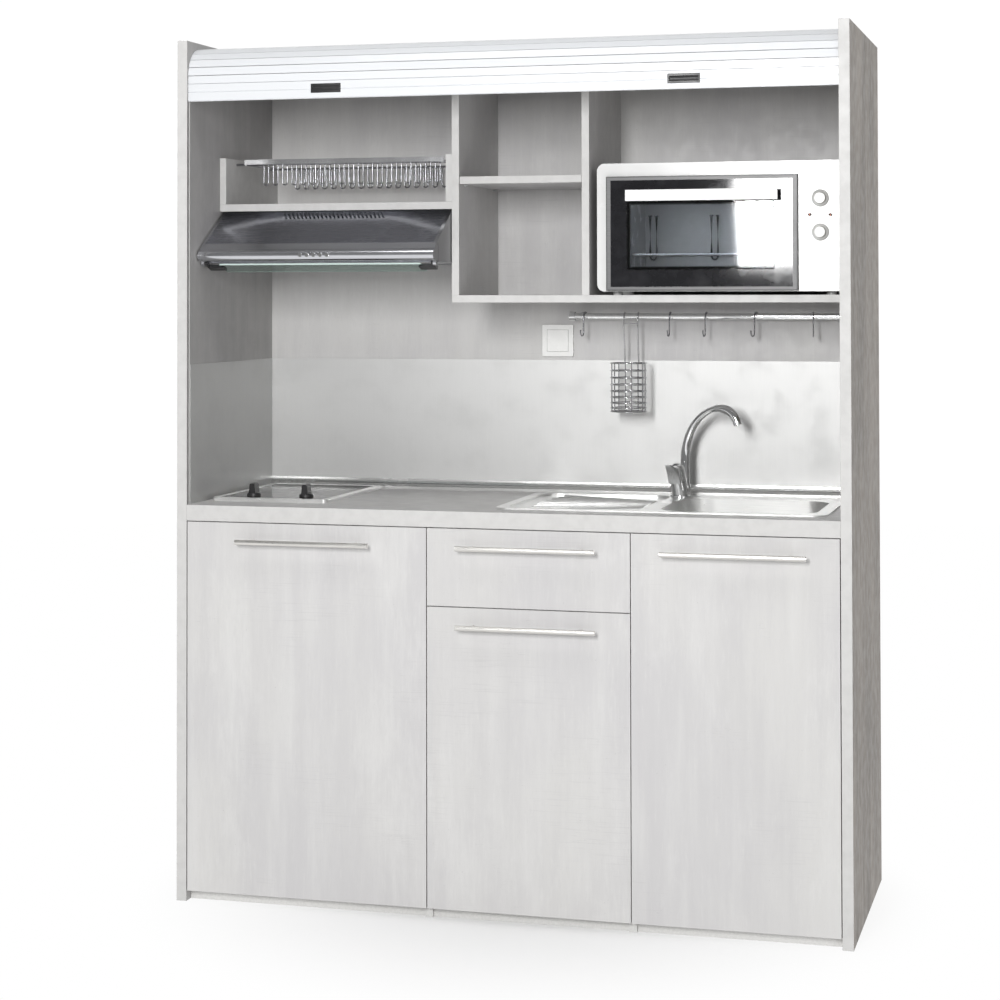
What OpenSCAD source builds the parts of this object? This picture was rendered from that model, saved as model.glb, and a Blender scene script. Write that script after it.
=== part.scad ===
/* [Cabinet] */
// Overall width over the side panels
body_w = 1610; // [1500:10:1800]
// Overall height of the side panels
body_h = 2060; // [2000:10:2160]
// Depth of the side panels, front edge to back edge
body_d = 620; // [600:5:680]
// Thickness of the side panels
side_t = 25; // [22:1:28]
// Thickness of the carcass and shelf boards
board_t = 18; // [16:1:22]
// Clear distance from the front edge to the laminated back wall
niche_d = 565; // [550:5:570]
// Thickness of the laminated back wall and of the ceiling board
back_t = 16; // [12:1:18]
// Thickness of the hardboard that closes the unit at the back
rear_t = 3; // [2:0.5:4]

/* [Base cupboards] */
// Height of the worktop surface above the floor
worktop_z = 945; // [900:5:980]
// Thickness of the worktop
worktop_t = 38; // [28:2:40]
// Clear width of the left cupboard
left_bay_w = 592; // [560:2:620]
// Clear width of the middle cupboard
middle_bay_w = 466; // [430:2:500]
// Thickness of doors and drawer front
door_t = 18; // [16:1:19]
// Joint between neighbouring fronts
front_gap = 2; // [2:0.5:4]
// Height of the door bottoms above the floor
door_bottom = 25; // [20:1:40]
// Height of the drawer front
drawer_h = 180; // [150:5:200]
// How far the plinth boards stand back from the front edge
plinth_setback = 28; // [24:1:60]
// Length of the bar handles
handle_l = 330; // [280:10:360]
// Diameter of the bar handles
handle_dia = 12; // [10:1:14]
// How far the handles reach out in front of the doors
handle_out = 35; // [30:1:40]
// Height of the shelf in the left cupboard
left_shelf_z = 480; // [380:10:600]
// Height of the shelf in the middle cupboard
middle_shelf_z = 370; // [300:10:500]
// Clear depth inside the drawer
drawer_box_d = 460; // [400:10:480]

/* [Rolling shutter] */
// Width of one slat, with its joint
slat_pitch = 19.5; // [18:0.5:22]
// Thickness of the slats
slat_t = 8; // [6:0.5:9]
// Radius of the guide bends at the middle of the slats
bend_r = 66; // [60:1:75]
// Height of the closing rail at the bottom of the shutter
rail_h = 42; // [36:1:48]
// How far the side panels rise above the shutter
panel_rise = 15; // [10:1:25]
// Distance from the front edge to the shutter's front face
shutter_setback = 8; // [6:1:12]
// Length of one finger grip
grip_w = 75; // [60:5:90]

/* [Wall shelving] */
// How far the shelving stands back from the front edge
shelving_setback = 205; // [180:5:230]
// Clear height from the long shelf, which carries the oven, to the ceiling board
niche_h = 539; // [515:1:565]
// Height of the short middle shelf's top above the long shelf's top
short_shelf_h = 287; // [240:1:330]
// Clear width of the hood and rack bay
hood_bay_w = 603; // [600:1:620]
// Clear width of the oven bay
oven_bay_w = 616; // [600:1:640]
// Clear height from the board under the plate rack to the ceiling board
rack_bay_h = 312; // [285:1:325]
// Height of the cheeks beside the plate rack
rack_cheek_h = 115; // [100:5:130]
// Thickness of the cheeks beside the plate rack
rack_cheek_t = 16; // [14:1:18]

/* [Hood] */
// Width of the hood
hood_w = 598; // [560:1:598]
// Height of the hood body
hood_h = 130; // [120:1:135]
// Distance of the hood's front bar from the front edge
hood_setback = 58; // [50:1:80]
// Depth from the front edge at which the slope meets the flat top
hood_slope_y = 223; // [200:1:260]
// Thickness of the hood's sheet
hood_sheet_t = 1.2; // [1:0.1:2]
// Depth of the glass visor
visor_d = 54; // [45:1:60]
// Diameter of the push buttons
button_dia = 10; // [8:1:12]

/* [Hob] */
// Width of the hob
hob_w = 300; // [280:5:320]
// Depth of the hob
hob_d = 425; // [400:5:430]
// Height of the hob's steel frame above the worktop
hob_h = 9; // [7:0.5:12]
// Distance of the hob from the front edge
hob_setback = 110; // [95:1:112]
// Distance of the hob from the left side panel
hob_inset = 17; // [10:1:30]
// Diameter of the hob knobs
hob_knob_dia = 35; // [30:1:40]

/* [Sink and tap] */
// Width of the sink with its drainer
sink_w = 780; // [740:10:790]
// Depth of the sink from front to back
sink_d = 435; // [420:5:440]
// Distance of the sink from the front edge
sink_setback = 78; // [70:2:100]
// Distance of the sink from the right side panel
sink_inset = 40; // [30:2:60]
// Clear width of the bowl
bowl_w = 365; // [340:5:375]
// Clear depth of the bowl from front to back
bowl_d = 320; // [290:5:325]
// Depth of the bowl below the worktop surface
bowl_h = 150; // [130:5:170]
// Diameter of the tap body
tap_dia = 44; // [38:1:46]
// Diameter of the swan neck spout
spout_dia = 23; // [18:1:24]

/* [Oven] */
// Width of the table oven
oven_w = 590; // [570:5:595]
// Height of the table oven without its feet
oven_h = 304; // [290:2:330]
// Depth of the oven casing
oven_d = 320; // [300:5:330]
// Width of the oven door
oven_door_w = 454; // [430:2:460]
// Height of the oven door
oven_door_h = 270; // [250:2:280]
// Diameter of the oven knobs
oven_knob_dia = 36; // [30:1:40]

/* [Rail and switch] */
// Diameter of the utensil rail
rail_dia = 16; // [12:1:18]
// Distance of the utensil rail's axis below the long shelf
rail_drop = 36; // [24:1:58]
// Distance of the rail's axis from the back wall
rail_standoff = 50; // [50:1:60]
// Diameter of the cutlery basket
basket_dia = 92; // [80:2:92]
// Height of the cutlery basket
basket_h = 120; // [100:5:130]
// Side of the square switch plate
switch_w = 81; // [78:1:86]
// Distance of the utensil rail's axis above the splash sheets
splash_drop = 112; // [108:1:152]

/* [Hidden] */

$fn = 48;

// Small distances that pieces keep from each other
run_gap = 0.05;   // radial gap of a shaft in its bore
seat_gap = 0.3;   // gap between pieces that sit side by side
eps = 0.01;       // overlap that lets one cut pass through a face

// The unit's own frame: x from the left outer face, y from the front edge
front_y = (handle_out - body_d) / 2;
inner_x0 = side_t;
inner_x1 = body_w - side_t;
rear_y0 = body_d - rear_t;
back_y1 = niche_d + back_t;

// Rolling shutter guide
shutter_y = shutter_setback + slat_t / 2;
top_run_z = body_h - panel_rise - slat_t / 2;
bend_z = top_run_z - bend_r;
rear_run_y = (back_y1 + rear_y0) / 2;
top_run_l = rear_run_y - shutter_y - 2 * bend_r;
bend_l = PI / 2 * bend_r;
guide_half = slat_t / 2 + 0.75;
guide_depth = 8;
slat_tenon = 6;
slat_joint = 0.3;
slat_back_taper = 1.1;
rail_z1 = bend_z - slat_pitch;
rail_z0 = rail_z1 - rail_h;
shutter_stop = 3;
shutter_travel = rail_z0 - worktop_z - shutter_stop;
stored_spare = 2 * slat_pitch;
stored_count = ceil((shutter_travel + stored_spare) / slat_pitch);
stored_l = stored_count * slat_pitch;
guide_end_z = bend_z - (stored_l - 2 * bend_l - top_run_l) - slat_pitch;
curtain_t = 2;
front_slat_t = slat_t - curtain_t - seat_gap;
slat_x0 = inner_x0 - slat_tenon;
slat_x1 = inner_x1 + slat_tenon;

// Niche
ceiling_z0 = bend_z + 10;
ceiling_z1 = ceiling_z0 + back_t;
ceiling_y0 = 30;
worktop_z0 = worktop_z - worktop_t;
long_shelf_z = ceiling_z0 - niche_h;
shelf_z0 = long_shelf_z - board_t;
short_shelf_z = long_shelf_z + short_shelf_h;
rack_floor_z = ceiling_z0 - rack_bay_h;
upright_1_x0 = inner_x0 + hood_bay_w;
upright_1_x1 = upright_1_x0 + board_t;
upright_2_x1 = inner_x1 - oven_bay_w;
upright_2_x0 = upright_2_x1 - board_t;
short_shelf_setback = 2;

// Base
carcass_y = door_t + 2;
floor_z0 = door_bottom + 2;
floor_z1 = floor_z0 + board_t;
plinth_t = 16;
divider_1_x0 = inner_x0 + left_bay_w;
divider_1_x1 = divider_1_x0 + board_t;
divider_2_x0 = divider_1_x1 + middle_bay_w;
divider_2_x1 = divider_2_x0 + board_t;
front_1_x = (divider_1_x0 + divider_1_x1) / 2;
front_2_x = (divider_2_x0 + divider_2_x1) / 2;
front_top = worktop_z0 - front_gap;
drawer_z0 = front_top - drawer_h;
middle_door_top = drawer_z0 - front_gap;
shelf_play = 1;
shelf_front = 60;
shelf_back = 12;

// Shelf pins
pin_r = 2.5;
pin_l = 16;
pin_depth = 8;
pin_inset = 45;

// Door and drawer fittings
handle_post_r = 4;
handle_post_inset = 37;
handle_drop = 43;
cup_r = 17.5;
cup_depth = 11;
cup_inset = 23;
hinge_inset = 110;
hinge_w = 22;
hinge_arm_y = 14;
hinge_plate_t = 11;
hinge_clear = 2;
hinge_plate_l = 52;
runner_w = 12;
runner_h = 34;
runner_z = drawer_z0 + 24;
box_board = 14;
box_floor_t = 6;
box_h = 110;
box_z = runner_z + runner_h / 2 - 9;
drawer_travel = 0.8 * drawer_box_d;

// Splash sheets and cove strip
splash_t = 1.5;
splash_y1 = niche_d;
splash_side_y0 = shutter_setback + slat_t + 4;
cove_h = 25;
cove_d = 20;
cove_lip = 1.5;

// Hood
hood_x0 = inner_x0 + (hood_bay_w - hood_w) / 2;
hood_x1 = hood_x0 + hood_w;
hood_cx = (hood_x0 + hood_x1) / 2;
hood_top = rack_floor_z - board_t;
hood_bottom = hood_top - hood_h;
hood_back = niche_d - 5;
hood_cap_t = 8;
bar_r = 14;
bar_y = hood_setback + bar_r;
bar_z = hood_bottom + bar_r + 4;
crease_y = bar_y + 15;
crease_z = bar_z + bar_r + 15;
bar_back = crease_y + 13;
visor_axis_y = bar_back - 12;
visor_axis_z = hood_bottom - 1;
visor_ear_r = 7;
visor_hub_r = 4;
visor_pin_r = 2.5;
visor_tilt = 18;
visor_glass_t = 4;
visor_start = 7;
visor_arm_w = 34;
button_count = 5;
button_pitch = 17;
button_out = 3;
button_l = 14;
button_travel = 2;
filter_t = 5;
filter_bars = 12;
vent_slots = 25;
vent_pitch = 10.5;
vent_l = 34;
vent_w = 4;
vent_lean = 28;

// Plate rack
rack_bar_h = 12;
rack_bar_t = 3;
rack_bar_z = rack_floor_z + 114;
rack_wire_r = 1.75;
rack_loops = 19;
rack_pitch = 25;
rack_loop_r = rack_pitch / 4;
rack_loop_low = rack_floor_z + 50;
rack_front_y = shelving_setback + 65;
rack_depth = 240;
rack_side_gap = 24;
cheek_x0 = inner_x0 + rack_cheek_t;
cheek_x1 = upright_1_x0 - rack_cheek_t;
rack_x0 = cheek_x0 + rack_side_gap;
rack_x1 = cheek_x1 - rack_side_gap;
rack_peg_r = 3;
rack_peg_in = 9;
rack_peg_z = rack_bar_z - rack_bar_h;
rack_rail_ys = [rack_front_y + 8, rack_front_y + rack_depth - 8];
rack_wave_x0 = rack_x1 - rack_loops * rack_pitch + rack_pitch / 2 - 5;

// Hob
hob_x0 = inner_x0 + hob_inset;
hob_frame_w = 14;
hob_corner = 12;
hob_pan_inset = 16;
hob_pan_h = 48;
hob_sheet_t = 1.2;
hob_regulator_r = 19;
hob_glass_drop = 1;
hob_glass_t = 5;
hob_cut_gap = 3;
hob_knob_h = 30;
hob_knob_spread = 137;
hob_knob_y = hob_setback + 78;
knob_shaft_r = 3;
knob_shaft_l = 18;

// Sink
sink_x1 = inner_x1 - sink_inset;
sink_x0 = sink_x1 - sink_w;
sink_sheet = 1.2;
sink_rise = 3;
sink_corner = 35;
sink_lip = 14;
bowl_x1 = sink_x1 - 30;
bowl_x0 = bowl_x1 - bowl_w;
bowl_y0 = sink_setback + 28;
bowl_y1 = bowl_y0 + bowl_d;
bowl_corner = 60;
bowl_fillet = 40;
bowl_cx = (bowl_x0 + bowl_x1) / 2;
bowl_cy = (bowl_y0 + bowl_y1) / 2;
bowl_z = worktop_z - bowl_h;
tray_x0 = sink_x0 + 24;
tray_x1 = bowl_x0 - 34;
tray_y0 = sink_setback + 28;
tray_y1 = sink_setback + sink_d - 28;
tray_drop = 6;
tray_corner = 45;
tray_ribs = 9;
tray_rib_r = 4;
waste_r = 44;
waste_flange_r = 55;
waste_flange_t = 1.5;
waste_h = 58;
strainer_holes = 8;
strainer_r = 4;
strainer_ring = 24;
pipe_r = 20;
pipe_wall = 1.8;
trap_bottle_r = 36;
trap_bottle_h = 110;
trap_drop = 60;
trap_out_z = bowl_z - waste_h - trap_drop - 25;
pipe_end_y = rear_y0 - 4;

// Tap
tap_x = bowl_x0 - 10;
tap_y = sink_setback + sink_d - 50;
tap_r = tap_dia / 2;
tap_deck_z = worktop_z + sink_rise;
tap_flange_r = tap_r + 4;
tap_flange_h = 4;
tap_facing = 255;
tap_lean = 19.5;
tap_body_l = 43;
tap_cap_l = 42;
tap_body_r = tap_r - 2;
tap_cap_r = tap_r - 3;
tap_hole_r = 16;
tap_shank_l = 45;
tap_nut_r = 26;
tap_nut_h = 10;
tap_socket_at = -25;
tap_socket_r = spout_dia / 2 + 1.5;
tap_socket_h = 30;
spout_pin_r = 8;
spout_pin_l = 22;
spout_rise = 90;
spout_turn = -22;
cartridge_r = 11;
cartridge_l = 20;
lever_w = 13;
lever_pin_r = 3;
lever_hub_r = 5.5;
lever_pivot = 32;
beak_l = 44;    // from the pin to the lever's tip, square to the body
beak_rise = 29; // and along the body
beak_root_w = 32;
beak_tip_w = 16;
beak_gap = 1.2;

// Rail, hooks and basket
rail_r = rail_dia / 2;
rail_z = shelf_z0 - rail_drop;
splash_z = rail_z - splash_drop;
rail_y = niche_d - rail_standoff;
rail_x0 = upright_2_x0 - 90;
finial_r = 12;
finial_l = 14;
bracket_r = 5;
bracket_inset = 9;
bracket_rose_r = 10;
bracket_rose_t = 4;
hook_wire_r = 1.6;
hook_turns = [-12, -5, -8, -19, 7];
hook_ring_r = (rail_r + seat_gap + hook_wire_r) / cos(min(hook_turns));
hook_low_r = 9;
hook_drop = 40;
hook_tip_h = 6;
hook_steps = [0, 218, 309, 433.5, 574];
hook_x0 = upright_2_x0 - 64;
basket_x = upright_2_x1 + 37;
basket_r = basket_dia / 2;
basket_wire_r = 1.5;
basket_thin_r = 1.3;
hanger_wire_r = 1.7;
hanger_fold = 26;
hanger_tail = 8;
hanger_bar_at = 18;
basket_top = rail_z - 116;
basket_rings = 9;
basket_bars = 8;
basket_hanger = 17.5;
basket_floor_bars = 5;
hanger_slant = 12;
hanger_y0 = rail_r + seat_gap + hanger_wire_r;
hanger_y1 = hanger_slant - hanger_y0;
basket_out = sqrt(pow(basket_r - basket_wire_r, 2) - pow(basket_hanger, 2))
  - hanger_y1;

// Switch
switch_x = upright_1_x0 + 177;
switch_z = splash_z + 9 + switch_w / 2;
switch_t = 9;
rocker_w = 56;
rocker_gap = 0.5;
rocker_out = 2.5;
rocker_tilt = 3;
switch_box_r = 30;

// Oven
oven_feet_h = 8;
oven_x0 = upright_2_x1 + 19;
oven_x1 = oven_x0 + oven_w;
oven_z0 = long_shelf_z + oven_feet_h;
oven_z1 = oven_z0 + oven_h;
oven_door_t = 18;
oven_front_y = shelving_setback + 9;
oven_corner = 18;
oven_rim = 24;
oven_door_x0 = oven_x0 + oven_rim;
oven_door_x1 = oven_door_x0 + oven_door_w;
oven_door_z0 = oven_z0 + 2;
oven_door_z1 = oven_door_z0 + oven_door_h;
oven_door_y0 = oven_front_y - seat_gap - oven_door_t;
oven_cavity_x0 = oven_door_x0 + 34;
oven_cavity_x1 = oven_door_x1 - 34;
oven_cavity_z0 = oven_z0 + 30;
oven_cavity_z1 = oven_cavity_z0 + 205;
oven_cavity_d = 285;
oven_sheet_t = 1.5;
oven_front_t = 10;
oven_vents = 14;
oven_vent_w = 4;
oven_vent_h = 46;
oven_vent_inset = 34;
oven_window_x0 = oven_door_x0 + 58;
oven_window_x1 = oven_door_x1 - 62;
oven_window_z0 = oven_door_z0 + 57;
oven_window_z1 = oven_door_z1 - 67;
oven_glass_t = 5;
oven_glass_lap = 8;
oven_handle_z = oven_door_z1 - 46;
oven_handle_h = 26;
oven_handle_out = 32;
oven_handle_t = 8;
oven_knob_x = oven_door_x1 + 2 + (oven_x1 - oven_door_x1) / 2 - 6;
oven_knob_z1 = oven_z1 - 88;
oven_knob_step = 79;
oven_knob_h = 17;
oven_panel_t = 8;
oven_rack_z = oven_cavity_z0 + 58;
oven_rack_wires = 16;
oven_rack_r = 2.5;
oven_rod_r = 3.5;
oven_ledge = 8;

// Places a piece of the unit's own frame around the shared origin
module in_place() translate([-body_w / 2, front_y, 0]) children();

// A board given by its limits
module board(x0, x1, y0, y1, z0, z1)
  translate([x0, y0, z0]) cube([x1 - x0, y1 - y0, z1 - z0]);

// Extrudes a profile drawn in (y, z) along x
module across(x0, x1)
  translate([x0, 0, 0])
    rotate([90, 0, 90])
      linear_extrude(x1 - x0) children();

// A rounded rectangle given by its limits
module round_rect(x0, x1, y0, y1, r) {
  translate([x0 + r, y0]) square([x1 - x0 - 2 * r, y1 - y0]);
  translate([x0, y0 + r]) square([x1 - x0, y1 - y0 - 2 * r]);
  for (x = [x0 + r, x1 - r], y = [y0 + r, y1 - r])
    translate([x, y]) circle(r);
}

// A round bar between two points along one axis
module bar_x(x0, x1, y, z, r)
  translate([x0, y, z]) rotate([0, 90, 0]) cylinder(h = x1 - x0, r = r);
module bar_y(y0, y1, x, z, r)
  translate([x, y1, z]) rotate([90, 0, 0]) cylinder(h = y1 - y0, r = r);
module bar_z(z0, z1, x, y, r)
  translate([x, y, z0]) cylinder(h = z1 - z0, r = r);

// A tube of round section along points [u, w] of one plane. Each point has
// its own radius, and the tube's sides spread along v.
module flat_sweep(path, radii, sides = 8) {
  n = len(path);
  function dir(i) =
    let (d = path[min(i + 1, n - 1)] - path[max(i - 1, 0)])
    d / norm(d);
  points = [
    for (i = [0 : n - 1], k = [0 : sides - 1])
      let (t = dir(i), a = 360 * (k + 0.5) / sides, r = radii[i])
      [
        path[i][0] - t[1] * r * cos(a),
        r * sin(a),
        path[i][1] + t[0] * r * cos(a)
      ]
  ];
  walls = [
    for (i = [0 : n - 2], k = [0 : sides - 1])
      let (a = i * sides + k, b = i * sides + (k + 1) % sides)
      each [[a, b, b + sides], [a, b + sides, a + sides]]
  ];
  first = [[for (k = [sides - 1 : -1 : 0]) k]];
  last = [[for (k = [0 : sides - 1]) (n - 1) * sides + k]];
  polyhedron(points, concat(first, walls, last), convexity = 8);
}

// ---- Rolling shutter -------------------------------------------------------

// A quarter of a ring in (y, z), from angle a0 to a0 + 90
module quarter_ring(r, half, a0)
  rotate(a0)
    intersection() {
      difference() {
        circle(r + half);
        circle(r - half);
      }
      square(r + half + 1);
    }

module guide_path(half) {
  translate([shutter_y - half, worktop_z])
    square([2 * half, bend_z - worktop_z]);
  translate([shutter_y + bend_r, bend_z]) quarter_ring(bend_r, half, 90);
  translate([shutter_y + bend_r, top_run_z - half])
    square([top_run_l, 2 * half]);
  translate([rear_run_y - bend_r, bend_z]) quarter_ring(bend_r, half, 0);
  translate([rear_run_y - half, guide_end_z])
    square([2 * half, bend_z - guide_end_z]);
}

// Where a slat at distance s along the guide stands: [y, z, turn]
function guide_at(s) =
  s < bend_l
    ? let (a = s / bend_r * 180 / PI)
     [shutter_y + bend_r * (1 - cos(a)), bend_z + bend_r * sin(a), a]
    : s < bend_l + top_run_l
      ? [shutter_y + bend_r + s - bend_l, top_run_z, 90]
      : s < 2 * bend_l + top_run_l
        ? let (a = (s - bend_l - top_run_l) / bend_r * 180 / PI)
         [
           rear_run_y - bend_r + bend_r * sin(a),
           bend_z + bend_r * cos(a),
           90 + a
         ]
        : [
           rear_run_y,
           bend_z - (s - 2 * bend_l - top_run_l),
           180
         ];

// One slat centred on the guide line; its back looks to the bend's inside
module slat_section(front, back)
  polygon([
    [-front, -slat_pitch / 2 + slat_joint],
    [-front, slat_pitch / 2 - slat_joint],
    [back, slat_pitch / 2 - slat_joint - slat_back_taper],
    [back, -slat_pitch / 2 + slat_joint + slat_back_taper]
  ]);

module shutter_slats_stored()
  color("whitesmoke")
    in_place()
      across(slat_x0, slat_x1)
        for (k = [0 : stored_count - 1]) {
          p = guide_at((k + 0.5) * slat_pitch);
          translate([p[0], p[1]])
            rotate(-p[2]) slat_section(slat_t / 2, slat_t / 2);
        }

// The closing rail and the slat above it, which run straight in the guides
module shutter_rail()
  color("whitesmoke")
    in_place()
      difference() {
        union() {
          across(slat_x0, slat_x1)
            translate([shutter_setback, rail_z0])
              difference() {
                square([slat_t, rail_h - slat_joint]);
                translate([-eps, rail_h / 2])
                  square([rail_line, rail_line]);
                translate([-eps, -eps])
                  square([rail_line + 1, rail_line]);
              }
          across(slat_x0, slat_x1)
            translate([
              shutter_y,
              rail_z1 + slat_pitch / 2
            ])
              slat_section(slat_t / 2, front_slat_t - slat_t / 2);
        }
        for (x = grip_places)
          board(x - grip_w / 2, x + grip_w / 2,
             shutter_setback - eps, shutter_setback + grip_deep,
             grip_z0, grip_z0 + grip_h);
      }
rail_line = 1.5;
grip_h = 22;
grip_deep = 5;
grip_z0 = rail_z0 + 13;
grip_places = [body_w * 0.233, body_w * 0.767];

module shutter_grips()
  color("black")
    in_place()
      for (x = grip_places)
        difference() {
          board(x - grip_w / 2 + seat_gap, x + grip_w / 2 - seat_gap,
             shutter_setback, shutter_setback + grip_deep - eps,
             grip_z0 + seat_gap, grip_z0 + grip_h - seat_gap);
          across(x - grip_w / 2 + 4, x + grip_w / 2 - 4)
            translate([shutter_setback - 2, grip_z0 + grip_h / 2])
              circle(6);
        }

// The flexible backing that unrolls behind the slats as the rail comes down
module shutter_curtain()
  color("whitesmoke")
    in_place()
      board(slat_x0, slat_x1,
         shutter_setback + slat_t - curtain_t,
         shutter_setback + slat_t,
         rail_z1, rail_z1 + slat_pitch - slat_joint);

// ---- Cabinet ---------------------------------------------------------------

module shelf_pin_holes(x, z, y0, y1)
  for (y = [y0 + pin_inset, y1 - pin_inset])
    bar_x(x - pin_depth, x + pin_depth, y, z - pin_r, pin_r + run_gap);

rebate_w = 10;
rebate_gap = 0.5;

module side_panel(x0, x1, inner_x, side) {
  difference() {
    board(x0, x1, 0, body_d, 0, body_h);
    // guide groove
    across(side > 0 ? inner_x - guide_depth : inner_x - eps,
       side > 0 ? inner_x + eps : inner_x + guide_depth)
      guide_path(guide_half);
    // rebate for the hardboard back
    board(side > 0 ? inner_x - rebate_w : inner_x - eps,
       side > 0 ? inner_x + eps : inner_x + rebate_w,
       rear_y0, body_d + eps, -eps, body_h - panel_rise);
    children();
  }
}

module side_panel_left()
  color("lightgray")
    in_place()
      side_panel(0, inner_x0, inner_x0, 1)
        shelf_pin_holes(inner_x0, left_shelf_z,
                shelf_front, rear_y0 - shelf_back);

module side_panel_right()
  color("lightgray")
    in_place()
      side_panel(inner_x1, body_w, inner_x1, -1);

module base_divider(x0, x1)
  board(x0, x1, carcass_y, rear_y0, 0, worktop_z0);

module base_boards()
  color("gainsboro")
    in_place() {
      difference() {
        base_divider(divider_1_x0, divider_1_x1);
        shelf_pin_holes(divider_1_x0, left_shelf_z,
                shelf_front, rear_y0 - shelf_back);
        shelf_pin_holes(divider_1_x1, middle_shelf_z,
                shelf_front, rear_y0 - shelf_back);
      }
      difference() {
        base_divider(divider_2_x0, divider_2_x1);
        shelf_pin_holes(divider_2_x0, middle_shelf_z,
                shelf_front, rear_y0 - shelf_back);
      }
      for (bay = bays) {
        board(bay[0] + seat_gap, bay[1] - seat_gap, carcass_y, rear_y0,
           floor_z0, floor_z1);
        board(bay[0] + seat_gap, bay[1] - seat_gap, plinth_setback,
           plinth_setback + plinth_t, 0, floor_z0 - seat_gap);
      }
    }
bays = [
  [inner_x0, divider_1_x0],
  [divider_1_x1, divider_2_x0],
  [divider_2_x1, inner_x1]
];

module cupboard_shelves()
  color("gainsboro")
    in_place() {
      board(inner_x0 + shelf_play, divider_1_x0 - shelf_play,
         shelf_front, rear_y0 - shelf_back,
         left_shelf_z, left_shelf_z + board_t);
      board(divider_1_x1 + shelf_play, divider_2_x0 - shelf_play,
         shelf_front, rear_y0 - shelf_back,
         middle_shelf_z, middle_shelf_z + board_t);
    }

service_w = 320;
service_h = 340;
service_z = 420;

module rear_panel()
  color("burlywood")
    in_place()
      difference() {
        board(inner_x0 - rebate_w + rebate_gap,
           inner_x1 + rebate_w - rebate_gap,
           rear_y0, body_d, floor_z0, body_h - panel_rise - 5);
        // service opening for the pipes behind the sink
        board(bowl_cx - service_w / 2, bowl_cx + service_w / 2,
           rear_y0 - eps, body_d + eps,
           service_z, service_z + service_h);
      }

module back_wall_panel()
  color("silver")
    in_place()
      difference() {
        board(inner_x0, inner_x1, niche_d, back_y1,
           worktop_z, ceiling_z1);
        bar_y(niche_d - eps, back_y1 + eps, switch_x, switch_z,
           switch_box_r + seat_gap);
      }

module ceiling_board()
  color("silver")
    in_place()
      board(inner_x0, inner_x1, ceiling_y0, niche_d,
         ceiling_z0, ceiling_z1);

module worktop()
  color("lightgray")
    in_place()
      difference() {
        board(inner_x0, inner_x1, 0, back_y1, worktop_z0, worktop_z);
        // hob cut-out
        board(hob_x0 + hob_pan_inset - hob_cut_gap,
           hob_x0 + hob_w - hob_pan_inset + hob_cut_gap,
           hob_setback + hob_pan_inset - hob_cut_gap,
           hob_setback + hob_d - hob_pan_inset + hob_cut_gap,
           worktop_z0 - eps, worktop_z + eps);
        // sink cut-out
        translate([0, 0, worktop_z0 - eps])
          linear_extrude(worktop_t + 2 * eps)
            round_rect(sink_x0 + sink_lip, sink_x1 - sink_lip,
                 sink_setback + sink_lip,
                 sink_setback + sink_d - sink_lip,
                 sink_corner - sink_lip);
      }

module splash_sheets()
  color("silver")
    in_place() {
      board(inner_x0 + splash_t, inner_x1 - splash_t,
         niche_d - splash_t, niche_d, worktop_z, splash_z);
      for (x = [inner_x0, inner_x1 - splash_t])
        board(x, x + splash_t, splash_side_y0, niche_d,
           worktop_z, splash_z);
    }

// A hollow quarter-round strip that covers the joint behind the worktop
module cove_profile()
  difference() {
    square([cove_d, cove_h]);
    translate([0, cove_h]) circle(cove_d - cove_lip);
  }

module worktop_cove_strip()
  color("silver")
    in_place() {
      x0 = inner_x0 + splash_t;
      x1 = inner_x1 - splash_t;
      across(x0, x1)
        translate([niche_d - splash_t - cove_d, worktop_z])
          cove_profile();
    }

// ---- Wall shelving ---------------------------------------------------------

module shelving_uprights()
  color("lightgray")
    in_place() {
      difference() {
        board(upright_1_x0, upright_1_x1, shelving_setback, niche_d,
           long_shelf_z, ceiling_z0);
        shelf_pin_holes(upright_1_x1, short_shelf_z - board_t,
                shelving_setback, niche_d);
      }
      difference() {
        board(upright_2_x0, upright_2_x1, shelving_setback, niche_d,
           long_shelf_z, ceiling_z0);
        shelf_pin_holes(upright_2_x0, short_shelf_z - board_t,
                shelving_setback, niche_d);
      }
    }

module long_shelf()
  color("lightgray")
    in_place()
      board(upright_1_x0, inner_x1, shelving_setback, niche_d,
         shelf_z0, long_shelf_z);

module short_shelf()
  color("lightgray")
    in_place()
      board(upright_1_x1 + shelf_play, upright_2_x0 - shelf_play,
         shelving_setback + short_shelf_setback, niche_d - shelf_play,
         short_shelf_z - board_t, short_shelf_z);

module rack_housing()
  color("lightgray")
    in_place() {
      y0 = shelving_setback + short_shelf_setback;
      z0 = rack_floor_z - board_t;
      board(inner_x0, upright_1_x0, y0, niche_d, z0, rack_floor_z - seat_gap);
      difference() {
        for (x = [inner_x0, cheek_x1])
          board(x, x + rack_cheek_t, y0, niche_d,
             rack_floor_z, rack_floor_z + rack_cheek_h);
        for (y = rack_rail_ys)
          bar_x(cheek_x0 - rack_peg_in - seat_gap,
             cheek_x1 + rack_peg_in + seat_gap,
             y, rack_peg_z, rack_peg_r + run_gap);
      }
    }

// One bend of the wire that holds the plates apart: two legs and a round foot
module rack_bend(z1) {
  z = rack_loop_low + rack_loop_r;
  for (x = [-rack_loop_r, rack_loop_r])
    bar_z(z, z1, x, 0, rack_wire_r, $fn = 16);
  translate([0, 0, z])
    rotate([90, 0, 0])
      rotate_extrude(angle = 180, start = 180)
        translate([rack_loop_r, 0]) circle(rack_wire_r, $fn = 16);
}

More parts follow.
